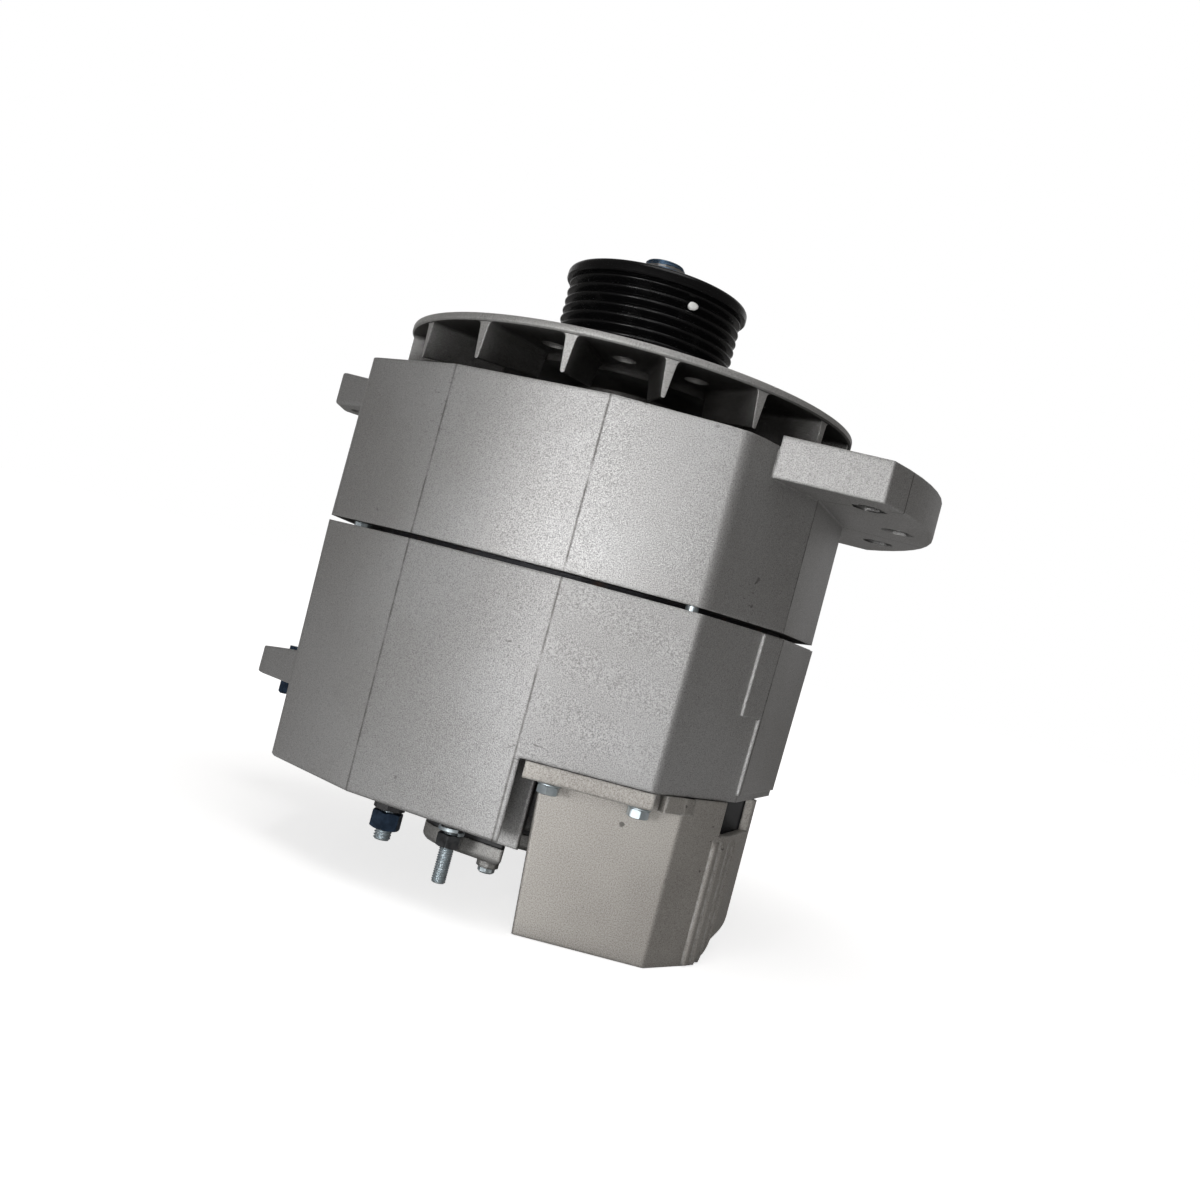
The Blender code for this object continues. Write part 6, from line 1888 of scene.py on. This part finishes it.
@dataclass
class Studio:
    """Pale floor, white surround, soft lamps and the photograph's camera."""

    floor_height: float = -0.2473
    floor_span: float = 60.0
    shadow_reach: float = 0.5
    shadow_glow: float = 0.72
    fill: float = 0.13
    behind: tuple[float, float, float] = (0.45, 1.0, 0.6)
    middle: tuple[float, float, float] = (0.0, 0.0, -0.13)
    camera_place: tuple[float, float, float] = (0.0, -0.47775, -0.14285)
    yaw: float = 1.07
    pitch: float = 1.11
    roll: float = 14.95
    lens: float = 36.65
    sensor: float = 36.0
    nearest: float = 0.01
    lamps: tuple[tuple[str, float, float, float, float, float], ...] = (
        ("left softbox", -28.0, -2.0, 1.25, 0.34, 7.4),
        ("middle softbox", -2.0, 0.0, 1.25, 0.34, 2.9),
        ("top softbox", 10.0, 70.0, 1.4, 1.0, 5.0),
    )

    def build_floor(self) -> None:
        """Lays the floor: pale, with the object's shadow, and white where the camera looks."""
        bm = bmesh.new()
        half = self.floor_span / 2
        corners = [(-half, -half), (half, -half), (half, half), (-half, half)]
        bm.faces.new([bm.verts.new((x, y, self.floor_height)) for x, y in corners])
        floor = make_object("studio_floor", bm)
        material = bpy.data.materials.new("pale studio floor")
        material.use_nodes = True
        graph = Graph(material.node_tree)
        shader = material.node_tree.nodes["Principled BSDF"]
        graph.feed(shader, Base_Color=(0.86, 0.86, 0.86, 1.0), Roughness=0.9)
        shader.inputs["Specular IOR Level"].default_value = 0.1
        shader.inputs["Emission Color"].default_value = (1, 1, 1, 1)
        direct = graph.direct_rays(graph.add("LightPath"))
        away = graph.add("VectorMath", operation="LENGTH")
        graph.tree.links.new(graph.add("TexCoord").outputs["Object"], away.inputs[0])
        near, far = self.shadow_reach / 2, self.shadow_reach
        glow = graph.window(away.outputs["Value"], near, far, self.shadow_glow, 1.0)
        graph.tree.links.new(graph.math("MULTIPLY", direct, glow), shader.inputs["Emission Strength"])
        floor.data.materials.append(material)

    def build_world(self) -> None:
        """Makes the surround white to the eye and in reflections, and a soft fill for the rest."""
        world = bpy.data.worlds.new("studio surround")
        bpy.context.scene.world = world
        world.use_nodes = True
        graph = Graph(world.node_tree)
        fill = world.node_tree.nodes["Background"]
        graph.feed(fill, Color=(1.0, 0.95, 0.91, 1.0), Strength=self.fill)
        white = graph.add("Background")
        graph.feed(white, Color=(1.0, 1.0, 1.0, 1.0), Strength=1.0)
        seen = graph.add("LightPath")
        direct = graph.direct_rays(seen)
        split = graph.add("SeparateXYZ")
        graph.tree.links.new(graph.add("TexCoord").outputs["Generated"], split.inputs[0])
        start, end, strength = self.behind
        behind = graph.window(split.outputs["Y"], start, end, 0.0, strength)
        glossy = graph.math("MULTIPLY", seen.outputs["Is Glossy Ray"], behind)
        mixed = graph.add("MixShader")
        graph.tree.links.new(graph.math("MAXIMUM", direct, glossy), mixed.inputs[0])
        graph.tree.links.new(fill.outputs[0], mixed.inputs[1])
        graph.tree.links.new(white.outputs[0], mixed.inputs[2])
        output = world.node_tree.nodes["World Output"]
        graph.tree.links.new(mixed.outputs[0], output.inputs["Surface"])

    def build_lamps(self) -> None:
        """Hangs the softboxes round the object, each aimed at its middle."""
        for name, azimuth, elevation, distance, size, power in self.lamps:
            lamp = bpy.data.lights.new(name, "AREA")
            lamp.shape = "DISK"
            lamp.size = size
            lamp.energy = power
            holder = bpy.data.objects.new(name, lamp)
            flat = polar(math.cos(math.radians(elevation)), azimuth)
            away = Vector((flat.x, flat.y, math.sin(math.radians(elevation))))
            holder.location = Vector(self.middle) + away * distance
            holder.rotation_euler = away.to_track_quat("Z", "Y").to_euler()
            bpy.context.scene.collection.objects.link(holder)

    def build_camera(self) -> None:
        """Sets the camera where the photograph was taken from."""
        yaw, pitch, roll = (math.radians(v) for v in (self.yaw, self.pitch, self.roll))
        ahead = Vector((math.sin(yaw) * math.cos(pitch), math.cos(yaw) * math.cos(pitch), math.sin(pitch)))
        right = Vector((math.cos(yaw), -math.sin(yaw), 0.0))
        above = right.cross(ahead)
        across = right * math.cos(roll) + above * math.sin(roll)
        upward = above * math.cos(roll) - right * math.sin(roll)
        data = bpy.data.cameras.new("photograph camera")
        data.sensor_width = self.sensor
        data.lens = self.lens
        data.clip_start = self.nearest
        camera = bpy.data.objects.new("photograph camera", data)
        frame = Matrix((across, upward, -ahead)).transposed().to_4x4()
        camera.matrix_world = Matrix.Translation(self.camera_place) @ frame
        bpy.context.scene.collection.objects.link(camera)
        bpy.context.scene.camera = camera

    def build(self) -> None:
        """Builds the floor, the surround, the lamps and the camera."""
        self.build_floor()
        self.build_world()
        self.build_lamps()
        self.build_camera()
        bpy.context.scene.view_settings.view_transform = "Standard"


def main() -> None:
    """Loads the frame and builds each sub-assembly in order."""
    logging.basicConfig(level=logging.INFO, format="%(message)s")
    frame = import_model()
    finishes = Finishes()
    Fan(finishes).build()
    PulleyEnd(finishes).build()
    Castings(finishes).build()
    RegulatorBox(finishes).build()
    Terminals(finishes).build()
    BoxBolts(finishes).build()
    Inside(finishes, nodes=frame["nodes"]).build()
    Studio().build()


if __name__ == "__main__":
    main()
